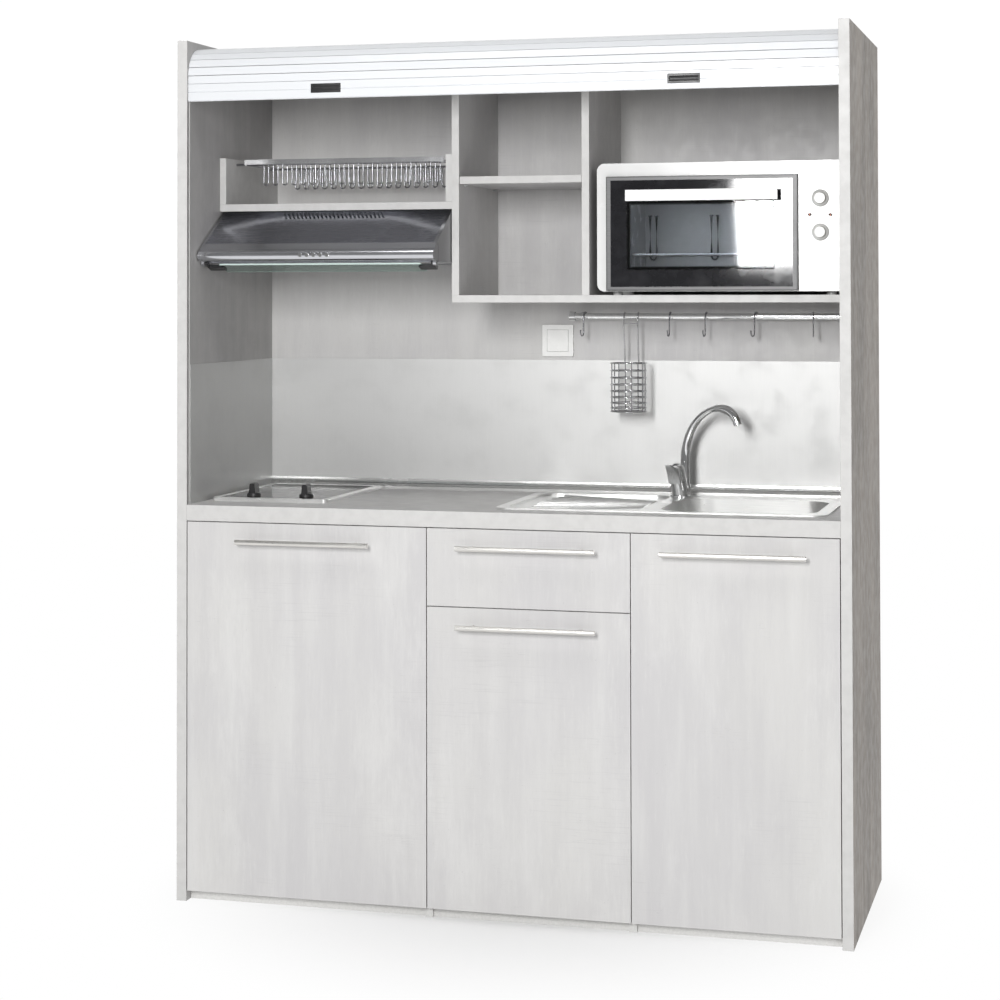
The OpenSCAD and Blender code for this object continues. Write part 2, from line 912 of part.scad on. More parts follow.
module plate_rack()
  color("silver")
    in_place() {
      y1 = rack_front_y + rack_depth;
      // flat front bar and the frame behind it, on four pegs
      board(rack_x0, rack_x1, rack_front_y, rack_front_y + rack_bar_t,
         rack_bar_z - rack_bar_h, rack_bar_z);
      for (y = rack_rail_ys)
        bar_x(cheek_x0 - rack_peg_in, cheek_x1 + rack_peg_in, y,
           rack_peg_z, rack_peg_r);
      for (x = [rack_x0 + rack_peg_r, rack_x1 - rack_peg_r])
        bar_y(rack_front_y + eps, y1, x, rack_peg_z, rack_peg_r);
      for (y = rack_rail_ys, i = [0 : rack_loops - 1])
        translate([rack_wave_x0 + i * rack_pitch, y, 0])
          rack_bend(rack_peg_z - rack_peg_r - seat_gap);
    }

// ---- Hood ------------------------------------------------------------------

module hood_outline()
  polygon([
    [hood_back, hood_bottom],
    [hood_back, hood_top],
    [hood_slope_y, hood_top],
    [crease_y, crease_z],
    [bar_back, crease_z - 6],
    [bar_back, hood_bottom]
  ]);

hood_slope_a = atan2(hood_top - crease_z, hood_slope_y - crease_y);

module hood_body()
  color("silver")
    in_place()
      difference() {
        across(hood_x0 + hood_cap_t, hood_x1 - hood_cap_t)
          hood_outline();
        across(hood_x0 + hood_cap_t + hood_sheet_t,
           hood_x1 - hood_cap_t - hood_sheet_t)
          offset(delta = -hood_sheet_t) hood_outline();
        // open underside, with a rim that carries the filter
        board(hood_x0 + hood_cap_t + filter_rim,
           hood_x1 - hood_cap_t - filter_rim,
           bar_back + filter_rim, hood_back - filter_rim,
           hood_bottom - eps, hood_bottom + hood_sheet_t + eps);
        hood_vents();
      }
filter_rim = 18;

// Slanted louvre slots in the upper part of the slope
module hood_vents()
  translate([hood_cx, hood_slope_y, hood_top])
    rotate([hood_slope_a, 0, 0])
      for (i = [0 : vent_slots - 1])
        translate([
          (i - (vent_slots - 1) / 2) * vent_pitch,
          -vent_l * 0.72,
          0
        ])
          rotate(vent_lean)
            cube([vent_w, vent_l, 8 * hood_sheet_t],
              center = true);

module bar_outline()
  union() {
    translate([bar_y, bar_z]) circle(bar_r);
    polygon([
      [bar_y, bar_z + bar_r],
      [crease_y, crease_z],
      [bar_back - seat_gap, crease_z - 6],
      [bar_back - seat_gap, bar_z - bar_r],
      [bar_y, bar_z - bar_r]
    ]);
  }

function button_x(i) = hood_cx + (i - (button_count + 1) / 2) * button_pitch;

// Front bar of the hood, and an end cap at each end that carries the visor
module hood_trim()
  color("silver")
    in_place() {
      difference() {
        across(hood_x0 + hood_cap_t, hood_x1 - hood_cap_t)
          bar_outline();
        for (i = [1 : button_count])
          bar_y(hood_setback - 1,
             hood_setback + button_l + button_travel,
             button_x(i), bar_z, button_dia / 2 + run_gap);
      }
      for (x = [hood_x0, hood_x1 - hood_cap_t])
        difference() {
          across(x, x + hood_cap_t)
            union() {
              translate([-1, 0]) bar_outline();
              hood_outline();
              translate([visor_axis_y, visor_axis_z])
                circle(visor_ear_r);
              translate([
                visor_axis_y - visor_ear_r,
                visor_axis_z
              ])
                square([
                  2 * visor_ear_r,
                  bar_z - visor_axis_z
                ]);
            }
          bar_x(x - eps, x + hood_cap_t + eps,
             visor_axis_y, visor_axis_z,
             visor_pin_r + run_gap);
        }
    }

module hood_filter()
  color("darkgray")
    in_place() {
      x0 = hood_x0 + hood_cap_t + hood_sheet_t + seat_gap;
      x1 = hood_x1 - hood_cap_t - hood_sheet_t - seat_gap;
      y0 = bar_back + hood_sheet_t + seat_gap;
      y1 = hood_back - hood_sheet_t - seat_gap;
      step = (x1 - x0) / filter_bars;
      translate([0, 0, hood_bottom + hood_sheet_t])
        linear_extrude(filter_t)
          difference() {
            translate([x0, y0]) square([x1 - x0, y1 - y0]);
            for (i = [0 : filter_bars - 1])
              translate([x0 + i * step + 16, y0 + 30])
                square([step - 22, y1 - y0 - 60]);
          }
    }

module at_visor_axis()
  translate([0, visor_axis_y, visor_axis_z])
    rotate([-visor_tilt, 0, 0]) children();

module hood_visor_glass()
  color("lightcyan", 0.5)
    in_place()
      at_visor_axis()
        board(hood_x0 + hood_cap_t + visor_arm_w,
           hood_x1 - hood_cap_t - visor_arm_w,
           visor_start, visor_start + visor_d,
           -visor_glass_t / 2, visor_glass_t / 2);

module hood_visor_arms()
  color("black")
    in_place()
      for (side = [0, 1])
        translate([side * (2 * hood_cx), 0, 0])
          mirror([side, 0, 0])
            visor_arm();

// A hub on the hinge pin, and a bracket that runs inwards to the glass
module visor_arm() {
  x0 = hood_x0 + hood_cap_t + seat_gap;
  x1 = hood_x0 + hood_cap_t + visor_arm_w;
  bar_x(hood_x0 + 1, x0 + 6, visor_axis_y, visor_axis_z, visor_pin_r);
  bar_x(x0, x0 + 6, visor_axis_y, visor_axis_z, visor_hub_r);
  at_visor_axis()
    difference() {
      union() {
        board(x0, x0 + 6, 0, visor_start + 32, -visor_hub_r, 3);
        board(x0, x1 + 8, visor_start + 10, visor_start + 32, -5, 3);
      }
      board(x1 - seat_gap, x1 + 9, visor_start - 1,
         visor_start + visor_d + 1,
         -visor_glass_t / 2 - run_gap, visor_glass_t / 2 + run_gap);
    }
}

module hood_button(i)
  color("whitesmoke")
    in_place()
      bar_y(hood_setback - button_out, hood_setback - button_out
         + button_l, button_x(i), bar_z, button_dia / 2);

// ---- Hob -------------------------------------------------------------------

function knob_x(side) = hob_x0 + hob_w / 2 + side * hob_knob_spread / 2;
hob_plate_z = worktop_z + hob_h - hob_glass_drop;

module hob_frame_2d(inset)
  round_rect(hob_x0 + inset, hob_x0 + hob_w - inset,
       hob_setback + inset, hob_setback + hob_d - inset,
       hob_corner - inset / 2);

module hob_body()
  color("silver")
    in_place() {
      difference() {
        union() {
          translate([0, 0, worktop_z])
            linear_extrude(hob_h - 2) hob_frame_2d(0);
          translate([0, 0, worktop_z + hob_h - 2 - eps])
            linear_extrude(1 + eps) hob_frame_2d(1);
          translate([0, 0, worktop_z + hob_h - 1 - eps])
            linear_extrude(1 + eps) hob_frame_2d(2.5);
        }
        translate([0, 0, hob_plate_z - hob_glass_t])
          linear_extrude(hob_h) hob_frame_2d(hob_frame_w);
        // open from the glass down into the pan, round the regulators
        difference() {
          hob_pan(hob_sheet_t, hob_plate_z);
          for (side = [-1, 1])
            bar_z(worktop_z - hob_pan_h, hob_plate_z, knob_x(side),
               hob_knob_y, hob_regulator_r);
        }
        hob_shaft_bores();
      }
      // pan below the glass, in the worktop's cut-out
      difference() {
        hob_pan(0, worktop_z + eps);
        difference() {
          hob_pan(hob_sheet_t, worktop_z + 1);
          for (side = [-1, 1])
            bar_z(worktop_z - hob_pan_h, worktop_z + 1,
               knob_x(side), hob_knob_y, hob_regulator_r);
        }
        hob_shaft_bores();
      }
    }

module hob_pan(inset, top)
  board(hob_x0 + hob_pan_inset + inset,
     hob_x0 + hob_w - hob_pan_inset - inset,
     hob_setback + hob_pan_inset + inset,
     hob_setback + hob_d - hob_pan_inset - inset,
     worktop_z - hob_pan_h + inset, top);

module hob_shaft_bores()
  for (side = [-1, 1])
    bar_z(hob_plate_z - hob_glass_t - knob_shaft_l, hob_plate_z + 1,
       knob_x(side), hob_knob_y, knob_shaft_r + run_gap);

module hob_top()
  color([0.12, 0.12, 0.13])
    in_place()
      difference() {
        translate([0, 0, hob_plate_z - hob_glass_t])
          linear_extrude(hob_glass_t)
            hob_frame_2d(hob_frame_w + run_gap);
        hob_shaft_bores();
      }

module hob_knob(side)
  color([0.08, 0.08, 0.08])
    in_place()
      translate([knob_x(side), hob_knob_y, hob_plate_z + seat_gap]) {
        rotate_extrude()
          polygon([
            [0, 0], [hob_knob_dia / 2, 0],
            [hob_knob_dia / 2, 3],
            [hob_knob_dia / 2 - 3, 7],
            [0, 9]
          ]);
        // the grip that the fingers turn
        rotate([90, 0, 0])
          translate([0, 0, -hob_knob_dia * 0.42])
            linear_extrude(hob_knob_dia * 0.84)
              polygon([
                [-8.5, 5], [8.5, 5], [6.5, hob_knob_h - 3],
                [4, hob_knob_h], [-4, hob_knob_h],
                [-6.5, hob_knob_h - 3]
              ]);
        translate([0, 0, -knob_shaft_l + 4])
          cylinder(h = knob_shaft_l, r = knob_shaft_r);
      }

// ---- Sink and tap ----------------------------------------------------------

// A deep bowl with rounded corners and a rounded bottom edge
module bowl_form(grow, z0, z1) {
  r = bowl_corner + grow;
  f = bowl_fillet + grow;
  hull()
    for (x = [bowl_x0 - grow + r, bowl_x1 + grow - r],
      y = [bowl_y0 - grow + r, bowl_y1 + grow - r]) {
      translate([x, y, z1 - 1]) cylinder(h = 1, r = r, $fn = 32);
      translate([x, y, z0 + f])
        rotate_extrude($fn = 32)
          intersection() {
            translate([r - f, 0]) circle(f, $fn = 24);
            translate([0, -f]) square([r, f]);
          }
      translate([x, y, z0]) cylinder(h = 1, r = r - f, $fn = 32);
    }
}

module sink_outline(inset)
  round_rect(sink_x0 + inset, sink_x1 - inset, sink_setback + inset,
       sink_setback + sink_d - inset, sink_corner - inset);

module tray_outline(inset)
  round_rect(tray_x0 + inset, tray_x1 - inset, tray_y0 + inset,
       tray_y1 - inset, tray_corner - inset);

module sink()
  color("silver")
    in_place()
      difference() {
        union() {
          translate([0, 0, worktop_z])
            linear_extrude(sink_rise) sink_outline(0);
          translate([0, 0, tap_deck_z - tray_drop - sink_sheet])
            linear_extrude(tray_drop)
              tray_outline(-sink_sheet);
          bowl_form(sink_sheet, bowl_z - sink_sheet, worktop_z);
        }
        // drainer, which runs into the bowl over a shallow step
        difference() {
          translate([0, 0, tap_deck_z - tray_drop])
            linear_extrude(tray_drop + 1) tray_outline(0);
          tray_rib_fan();
        }
        bowl_form(0, bowl_z, tap_deck_z + 1);
        // waste and tap holes
        bar_z(bowl_z - 2 * sink_sheet, bowl_z + 1, bowl_cx, bowl_cy,
           waste_r + seat_gap);
        bar_z(worktop_z - 1, tap_deck_z + 1, tap_x, tap_y,
           tap_hole_r + seat_gap);
      }

// Ribs that fan out from the bowl across the drainer
module tray_rib_fan() {
  cy = (tray_y0 + tray_y1) / 2;
  span = tray_y1 - tray_y0 - 2 * tray_corner;
  for (i = [0 : tray_ribs - 1]) {
    k = i / (tray_ribs - 1) - 0.5;
    from = [tray_x1 - 22, cy + k * span * 0.55];
    to = [tray_x0 + 34 + abs(k) * 40, cy + k * span * 1.25];
    l = norm(to - from);
    translate([from[0], from[1], tap_deck_z - tray_drop - 1])
      rotate([0, 0, atan2(to[1] - from[1], to[0] - from[0])])
        rotate([0, 90, 0]) cylinder(h = l, r = tray_rib_r, $fn = 24);
  }
}

module sink_waste()
  color("gainsboro")
    in_place()
      translate([bowl_cx, bowl_cy, bowl_z])
        difference() {
          union() {
            cylinder(h = waste_flange_t, r = waste_flange_r);
            translate([0, 0, -waste_h])
              cylinder(h = waste_h, r = waste_r);
          }
          translate([0, 0, -waste_h + 3])
            cylinder(h = waste_h - 7, r = waste_r - 2);
          translate([0, 0, -2.5])
            cylinder(h = 5, r = waste_r - 4);
          for (i = [0 : strainer_holes - 1])
            rotate(i * 360 / strainer_holes)
              translate([strainer_ring, 0, -6])
                cylinder(h = 12, r = strainer_r);
          translate([0, 0, -waste_h - 1])
            cylinder(h = 6, r = pipe_r - pipe_wall);
        }

module sink_trap()
  color("white")
    in_place() {
      top = bowl_z - waste_h;
      low = top - trap_drop - trap_bottle_h;
      difference() {
        union() {
          bar_z(low + 30, top, bowl_cx, bowl_cy, pipe_r);
          bar_z(top - 22, top, bowl_cx, bowl_cy, pipe_r + 6);
          bar_z(low, low + trap_bottle_h, bowl_cx, bowl_cy,
             trap_bottle_r);
          bar_z(low, low + 26, bowl_cx, bowl_cy,
             trap_bottle_r + 3);
          bar_y(bowl_cy, pipe_end_y, bowl_cx, trap_out_z, pipe_r);
          bar_y(bowl_cy + trap_bottle_r - 4,
             bowl_cy + trap_bottle_r + 20, bowl_cx,
             trap_out_z, pipe_r + 6);
        }
        bar_z(low + 40, top + 1, bowl_cx, bowl_cy,
           pipe_r - pipe_wall);
        difference() {
          bar_z(low + 4, low + trap_bottle_h - 4, bowl_cx,
             bowl_cy, trap_bottle_r - 3);
          bar_z(low + 30, top, bowl_cx, bowl_cy, pipe_r);
        }
        bar_y(bowl_cy + pipe_r + 4, pipe_end_y + 1, bowl_cx,
           trap_out_z, pipe_r - pipe_wall);
      }
    }

// The tap's deck frame, turned so that x points to its lever
module at_tap()
  in_place()
    translate([tap_x, tap_y, tap_deck_z]) rotate(tap_facing) children();

// Along the leaning body, from the deck upwards
module at_tap_axis(h = 0)
  at_tap() rotate([0, tap_lean, 0]) translate([0, 0, h]) children();

module tap_body()
  color("silver") {
    difference() {
      union() {
        at_tap() {
          cylinder(h = tap_flange_h, r = tap_flange_r);
          translate([tap_socket_at, 0, 0])
            cylinder(h = tap_flange_h, r = tap_socket_r + 4);
          translate([tap_socket_at, 0, 0])
            cylinder(h = tap_socket_h, r = tap_socket_r);
        }
        at_tap_axis(-10)
          cylinder(h = tap_body_l + 10, r1 = tap_r, r2 = tap_body_r);
      }
      // nothing of the leaning body reaches through the deck
      at_tap()
        translate([0, 0, -20]) cylinder(h = 20, r = 2 * tap_r);
      at_tap_axis(tap_body_l - cartridge_l)
        cylinder(h = cartridge_l + 1, r = cartridge_r + run_gap);
      at_tap()
        translate([tap_socket_at, 0, tap_socket_h - spout_pin_l - 1])
          cylinder(h = spout_pin_l + 2, r = spout_pin_r + run_gap);
    }
    at_tap() {
      translate([0, 0, -tap_shank_l])
        cylinder(h = tap_shank_l + eps, r = tap_hole_r);
      // clamping nut below the sink's deck
      translate([0, 0, -sink_rise - tap_nut_h])
        cylinder(h = tap_nut_h, r = tap_nut_r, $fn = 6);
    }
  }

// Points of the swan neck in its own plane, [reach, height] from the deck
neck_pull = [
  [0, spout_rise], [0, 158], [38, 236], [138, 246], [152, 180]
];
neck_steps = 22;
nozzle_from = 0.78;
function bezier(p, t) =
  len(p) == 1 ? p[0]
  : bezier([for (i = [0 : len(p) - 2]) p[i] * (1 - t) + p[i + 1] * t], t);
function neck() = concat(
  [[0, tap_socket_h + seat_gap]],
  [for (i = [0 : neck_steps]) bezier(neck_pull, i / neck_steps)]
);
// The neck narrows up to its crown and ends in a wider nozzle
neck_waist = 4;
waist_at = 0.6;
function neck_r(t) =
  t < waist_at ? spout_dia / 2 - neck_waist * t / waist_at
  : t < nozzle_from
    ? spout_dia / 2 - neck_waist
      + (neck_waist + 0.6) * (t - waist_at) / (nozzle_from - waist_at)
    : spout_dia / 2 + 0.6 - 1.8 * (t - nozzle_from) / (1 - nozzle_from);
function neck_radii() = concat(
  [spout_dia / 2],
  [for (i = [0 : neck_steps]) neck_r(i / neck_steps)]
);

module tap_spout()
  color("silver")
    at_tap()
      translate([tap_socket_at, 0, 0]) {
        rotate(spout_turn - tap_facing)
          flat_sweep(neck(), neck_radii(), 16);
        translate([0, 0, tap_socket_h - spout_pin_l])
          cylinder(h = spout_pin_l + 4, r = spout_pin_r);
      }

module tap_cap()
  color("silver")
    difference() {
      union() {
        at_tap_axis(tap_body_l + seat_gap)
          rotate_extrude()
            polygon([
              [0, 0], [tap_body_r - 0.6, 0], [tap_body_r, 0.6],
              [tap_cap_r + 0.6, tap_cap_l * 0.72],
              [tap_cap_r - 3, tap_cap_l * 0.93],
              [tap_cap_r - 7, tap_cap_l], [0, tap_cap_l]
            ]);
        at_tap_axis(tap_body_l - cartridge_l + 1)
          cylinder(h = cartridge_l + 1, r = cartridge_r);
      }
      // slot that the lever rocks in
      at_tap_axis(tap_body_l + lever_pivot - 7)
        translate([-7, -lever_w / 2 - seat_gap, 0])
          cube([tap_r + 10, lever_w + 2 * seat_gap, tap_cap_l]);
      at_tap_axis(tap_body_l + lever_pivot)
        rotate([90, 0, 0])
          cylinder(h = tap_r + 4, r = lever_pin_r + run_gap, center = true);
    }

// The lever: a hub on a pin in the cap's slot and a beak that clasps the
// cap's front, x square to the body and z along it
module tap_lever()
  color("silver")
    at_tap_axis(tap_body_l + lever_pivot) {
      rotate([90, 0, 0])
        cylinder(h = tap_r, r = lever_pin_r, center = true);
      rotate([90, 0, 0])
        linear_extrude(lever_w, center = true) {
          circle(lever_hub_r);
          polygon([
            [0, -lever_hub_r], [tap_r + 2, -lever_hub_r],
            [tap_r + 7, 6], [tap_r + 8, 15], [tap_r - 2, 10.4],
            [tap_r - 9, 9.2], [2, 8.6], [0, lever_hub_r]
          ]);
        }
      difference() {
        intersection() {
          rotate([90, 0, 0])
            linear_extrude(beak_root_w, center = true)
              beak_profile();
          translate([0, 0, -tap_cap_l])
            linear_extrude(2 * tap_cap_l)
              polygon([
                [0, -beak_root_w / 2], [tap_r, -beak_root_w / 2],
                [beak_l - 3, -beak_tip_w / 2],
                [beak_l + 1, -beak_tip_w / 2 + 4],
                [beak_l + 1, beak_tip_w / 2 - 4],
                [beak_l - 3, beak_tip_w / 2],
                [tap_r, beak_root_w / 2], [0, beak_root_w / 2]
              ]);
        }
        translate([0, 0, -tap_cap_l])
          cylinder(h = 2 * tap_cap_l, r = tap_body_r + beak_gap);
      }
    }

module beak_profile() {
  low = 1 - lever_pivot;
  polygon([
    [0, low], [tap_r + 0.6, low], [tap_r + 2.2, low * 0.55],
    [tap_r + 5, 0], [tap_r + 10, 12], [beak_l - 4, beak_rise - 6],
    [beak_l + 0.6, beak_rise - 2], [beak_l, beak_rise],
    [beak_l - 7, beak_rise - 5.5], [tap_r + 6, 14.6],
    [tap_r - 2, 10.4], [0, 9.2]
  ]);
}

// ---- Rail, hooks and basket ------------------------------------------------

bracket_xs = [rail_x0 + bracket_inset, inner_x1 - 3 * bracket_inset];

module utensil_rail()
  color("silver")
    in_place() {
      bar_x(rail_x0, inner_x1, rail_y, rail_z, rail_r);
      bar_x(rail_x0 - finial_l, rail_x0, rail_y, rail_z, finial_r);
      for (x = bracket_xs) {
        difference() {
          bar_y(rail_y, niche_d - bracket_rose_t, x, rail_z,
             bracket_r);
          bar_x(x - 20, x + 20, rail_y, rail_z, rail_r - eps);
        }
        bar_y(niche_d - bracket_rose_t, niche_d, x, rail_z,
           bracket_rose_r);
      }
    }

// A bent piece of wire in the (y, z) plane
module wire_arc(y, z, r, a0, a1, wire_r)
  translate([0, y, z])
    rotate([90, 0, 90])
      rotate([0, 0, a0])
        rotate_extrude(angle = a1 - a0)
          translate([r, 0]) circle(wire_r, $fn = 16);

module s_hook() {
  // over the rail, down in front of it and up again in the lower bend
  wire_arc(0, 0, hook_ring_r, 0, 200, hook_wire_r);
  bar_z(-hook_drop, 0, 0, hook_ring_r, hook_wire_r, $fn = 16);
  wire_arc(hook_ring_r + hook_low_r, -hook_drop, hook_low_r, 180, 360,
      hook_wire_r);
  bar_z(-hook_drop, hook_tip_h - hook_drop, 0, hook_ring_r + 2 * hook_low_r,
     hook_wire_r, $fn = 16);
}

module s_hooks()
  color("silver")
    in_place()
      for (i = [0 : len(hook_steps) - 1])
        translate([hook_x0 + hook_steps[i], rail_y, rail_z])
          rotate(hook_turns[i])
            mirror([0, 1, 0]) s_hook();

function ring_z(i) =
  basket_top - basket_h * (1 - pow(1 - i / (basket_rings - 1), 1.25));

module basket_cage() {
  for (i = [0 : basket_rings - 1])
    translate([0, 0, ring_z(i)])
      rotate_extrude()
        translate([basket_r - basket_wire_r, 0])
          circle(basket_wire_r, $fn = 16);
  for (i = [0 : basket_bars - 1])
    rotate((i + 0.5) * 360 / basket_bars)
      bar_z(basket_top - basket_h - basket_thin_r, basket_top,
         basket_r - 2.6 * basket_wire_r, 0,
         basket_wire_r, $fn = 12);
  // floor
  for (i = [1 : basket_floor_bars]) {
    y = basket_r * (2 * i / (basket_floor_bars + 1) - 1);
    h = sqrt(pow(basket_r - basket_wire_r, 2) - y * y);
    bar_x(-h, h, y, basket_top - basket_h, basket_thin_r, $fn = 12);
  }
}

// One wire over the rail, down in front of it and back to the top ring
module basket_hanger_wire() {
  wire_arc(0, rail_z, hanger_y0, 0, 180, hanger_wire_r);
  bar_z(rail_z - hanger_fold, rail_z, 0, -hanger_y0, hanger_wire_r);
  bar_z(rail_z - hanger_tail, rail_z, 0, hanger_y0, hanger_wire_r);
  down = rail_z - hanger_fold - basket_top;
  l = norm([hanger_slant, down]);
  translate([0, -hanger_y0, rail_z - hanger_fold])
    rotate([180 + atan2(hanger_slant, down), 0, 0])
      cylinder(h = l, r = hanger_wire_r, $fn = 12);
}

module cutlery_basket()
  color("silver")
    in_place()
      translate([basket_x, rail_y, 0]) {
        translate([0, -basket_out, 0]) basket_cage();
        for (x = [-basket_hanger, basket_hanger])
          translate([x, 0, 0])
            basket_hanger_wire();
        bar_x(-basket_hanger, basket_hanger, -hanger_y0,
           rail_z - hanger_bar_at, basket_thin_r, $fn = 12);
      }

// ---- Switch ----------------------------------------------------------------

module switch_frame()
  color("white")
    in_place() {
      h = switch_w / 2;
      difference() {
        union() {
          translate([0, niche_d, 0])
            rotate([90, 0, 0])
              linear_extrude(switch_t)
                round_rect(switch_x - h, switch_x + h,
                     switch_z - h, switch_z + h, 3);
          bar_y(niche_d - eps, back_y1, switch_x, switch_z,
             switch_box_r);
        }
        board(switch_x - rocker_w / 2, switch_x + rocker_w / 2,
           niche_d - switch_t - 1, niche_d - 1,
           switch_z - rocker_w / 2, switch_z + rocker_w / 2);
      }
    }

module switch_rocker()
  color("white")
    in_place() {
      w = rocker_w / 2 - rocker_gap;
      translate([switch_x, niche_d - switch_t + 2, switch_z])
        rotate([90, 0, 90])
          linear_extrude(2 * w, center = true)
            polygon([
              [-rocker_out, -w + 0.4], [-rocker_out + 0.4, -w],
              [1.5, -w], [4, 0], [1.5, w],
              [-rocker_out + 0.4, w], [-rocker_out, w - 0.4]
            ]);
    }

// ---- Oven ------------------------------------------------------------------

module oven_casing(inset, y0, y1)
  translate([0, y1, 0])
    rotate([90, 0, 0])
      linear_extrude(y1 - y0)
        round_rect(oven_x0 + inset, oven_x1 - inset,
             oven_z0 + inset, oven_z1 - inset, oven_corner - inset);

module oven_shell()
  color("white")
    in_place() {
      difference() {
        oven_casing(0, oven_front_y, oven_front_y + oven_d);
        // space between the outer sheets and the muffle
        difference() {
          oven_casing(oven_sheet_t, oven_front_y + oven_front_t,
                oven_front_y + oven_d - oven_sheet_t);
          board(oven_cavity_x0 - oven_sheet_t,
             oven_cavity_x1 + oven_sheet_t,
             oven_front_y, oven_front_y + oven_cavity_d + oven_sheet_t,
             oven_cavity_z0 - oven_sheet_t,
             oven_cavity_z1 + oven_sheet_t);
          board(oven_cavity_x0 - oven_ledge - oven_sheet_t,
             oven_cavity_x1 + oven_ledge + oven_sheet_t,
             oven_front_y, oven_front_y + oven_cavity_d + oven_sheet_t,
             oven_rack_z - oven_rack_r - oven_sheet_t,
             oven_rack_z + oven_ledge / 2 + oven_sheet_t);
        }
        // air slots in the back
        for (i = [0 : oven_vents - 1]) {
          x = oven_x1 - oven_vent_inset - 3 * i * oven_vent_w;
          board(x - oven_vent_w, x,
             oven_front_y + oven_d - 2 * oven_sheet_t,
             oven_front_y + oven_d + eps,
             oven_z1 - oven_vent_inset - oven_vent_h,
             oven_z1 - oven_vent_inset);
        }
        // cooking space
        board(oven_cavity_x0, oven_cavity_x1,
           oven_front_y - eps, oven_front_y + oven_cavity_d,
           oven_cavity_z0, oven_cavity_z1);
        // ledge grooves that the rack slides in
        for (x = [oven_cavity_x0, oven_cavity_x1])
          board(x - oven_ledge, x + oven_ledge,
             oven_front_y - eps, oven_front_y + oven_cavity_d,
             oven_rack_z - oven_rack_r, oven_rack_z + oven_ledge / 2);
      }
      // raised front frame and control panel
      translate([0, oven_front_y, 0])
        rotate([90, 0, 0])
          linear_extrude(oven_panel_t)
            difference() {
              round_rect(oven_x0, oven_x1, oven_z0, oven_z1,
                   oven_corner);
              translate([oven_door_x0 - 1, oven_z0 - 1])
                square([
                  oven_door_w + 2,
                  oven_door_z1 - oven_z0 + 2
                ]);
              for (z = [oven_knob_z1,
                   oven_knob_z1 - oven_knob_step])
                translate([oven_knob_x, z])
                  circle(knob_shaft_r + run_gap);
            }
      for (x = [oven_x0 + 40, oven_x1 - 40],
        y = [oven_front_y + 40, oven_front_y + oven_d - 40])
        bar_z(long_shelf_z, oven_z0, x, y, 11);
    }

module oven_rack()
  color("silver")
    in_place() {
      x0 = oven_cavity_x0 - oven_ledge + 2;
      x1 = oven_cavity_x1 + oven_ledge - 2;
      y0 = oven_front_y + 12;
      y1 = oven_front_y + oven_cavity_d - 12;
      z = oven_rack_z;
      for (y = [y0, y1]) bar_x(x0, x1, y, z, oven_rack_r);
      for (x = [x0 + oven_rack_r, x1 - oven_rack_r])
        bar_y(y0, y1, x, z, oven_rack_r);
      for (i = [1 : oven_rack_wires]) {
        x = x0 + i * (x1 - x0) / (oven_rack_wires + 1);
        bar_y(y0, y1, x, z, 1.5, $fn = 16);
      }
      // heating rods above and below
      for (z = [oven_cavity_z0 + 16, oven_cavity_z1 - 16],
        y = [y0 + 60, y1 - 60])
        bar_x(oven_cavity_x0, oven_cavity_x1, y, z, oven_rod_r);
    }

module oven_door()
  color([0.1, 0.1, 0.1])
    in_place() {
      y1 = oven_door_y0 + oven_door_t;
      difference() {
        board(oven_door_x0, oven_door_x1, oven_door_y0, y1,
           oven_door_z0, oven_door_z1);
        board(oven_window_x0 - oven_glass_lap,
           oven_window_x1 + oven_glass_lap,
           oven_door_y0 - eps, oven_door_y0 + oven_glass_t,
           oven_window_z0 - oven_glass_lap,
           oven_window_z1 + oven_glass_lap);
        board(oven_window_x0, oven_window_x1, oven_door_y0, y1 + eps,
           oven_window_z0, oven_window_z1);
      }
      // flat bar handle on two posts
      hx0 = oven_door_x0 + 53;
      hx1 = oven_door_x1 - 42;
      hy0 = oven_door_y0 - oven_handle_out;
      board(hx0, hx1, hy0, hy0 + oven_handle_t,
         oven_handle_z - oven_handle_h / 2,
         oven_handle_z + oven_handle_h / 2);
      for (x = [hx0 + 14, hx1 - 14])
        bar_y(hy0 + oven_handle_t - eps, oven_door_y0 + eps, x,
           oven_handle_z, 6);
    }

module oven_door_glass()
  color([0.2, 0.2, 0.2], 0.6)
    in_place()
      board(oven_window_x0 - oven_glass_lap + seat_gap,
         oven_window_x1 + oven_glass_lap - seat_gap,
         oven_door_y0, oven_door_y0 + oven_glass_t,
         oven_window_z0 - oven_glass_lap + seat_gap,
         oven_window_z1 + oven_glass_lap - seat_gap);

module oven_knob(z)
  color("whitesmoke")
    in_place()
      translate([
        oven_knob_x,
        oven_front_y - oven_panel_t - seat_gap,
        z
      ])
        rotate([90, 0, 0]) {
          rotate_extrude()
            polygon([
              [0, 0], [oven_knob_dia / 2, 0],
              [oven_knob_dia / 2, 3],
              [oven_knob_dia / 2 - 4, 5],
              [oven_knob_dia / 2 - 5, oven_knob_h - 1],
              [oven_knob_dia / 2 - 6, oven_knob_h],
              [0, oven_knob_h]
            ]);
          translate([-2, 0, oven_knob_h - 1])
            cube([4, oven_knob_dia / 2 - 6, 2]);
          translate([0, 0, -oven_panel_t + 1])
            cylinder(h = oven_panel_t, r = knob_shaft_r);
        }

// ---- Doors, drawer and fittings --------------------------------------------

door_left_x = [inner_x0 + front_gap, front_1_x - front_gap / 2];
door_middle_x = [front_1_x + front_gap / 2, front_2_x - front_gap / 2];
door_right_x = [front_2_x + front_gap / 2, inner_x1 - front_gap];

// A door with bores for its hinge cups; side is -1 for hinges on the left
module cupboard_door(limits, top, side)
  difference() {
    board(limits[0], limits[1], 0, door_t, door_bottom, top);
    for (z = [door_bottom + hinge_inset, top - hinge_inset])
      bar_y(door_t - cup_depth - seat_gap, door_t + eps,
         cup_x(limits, side), z, cup_r + run_gap);
  }

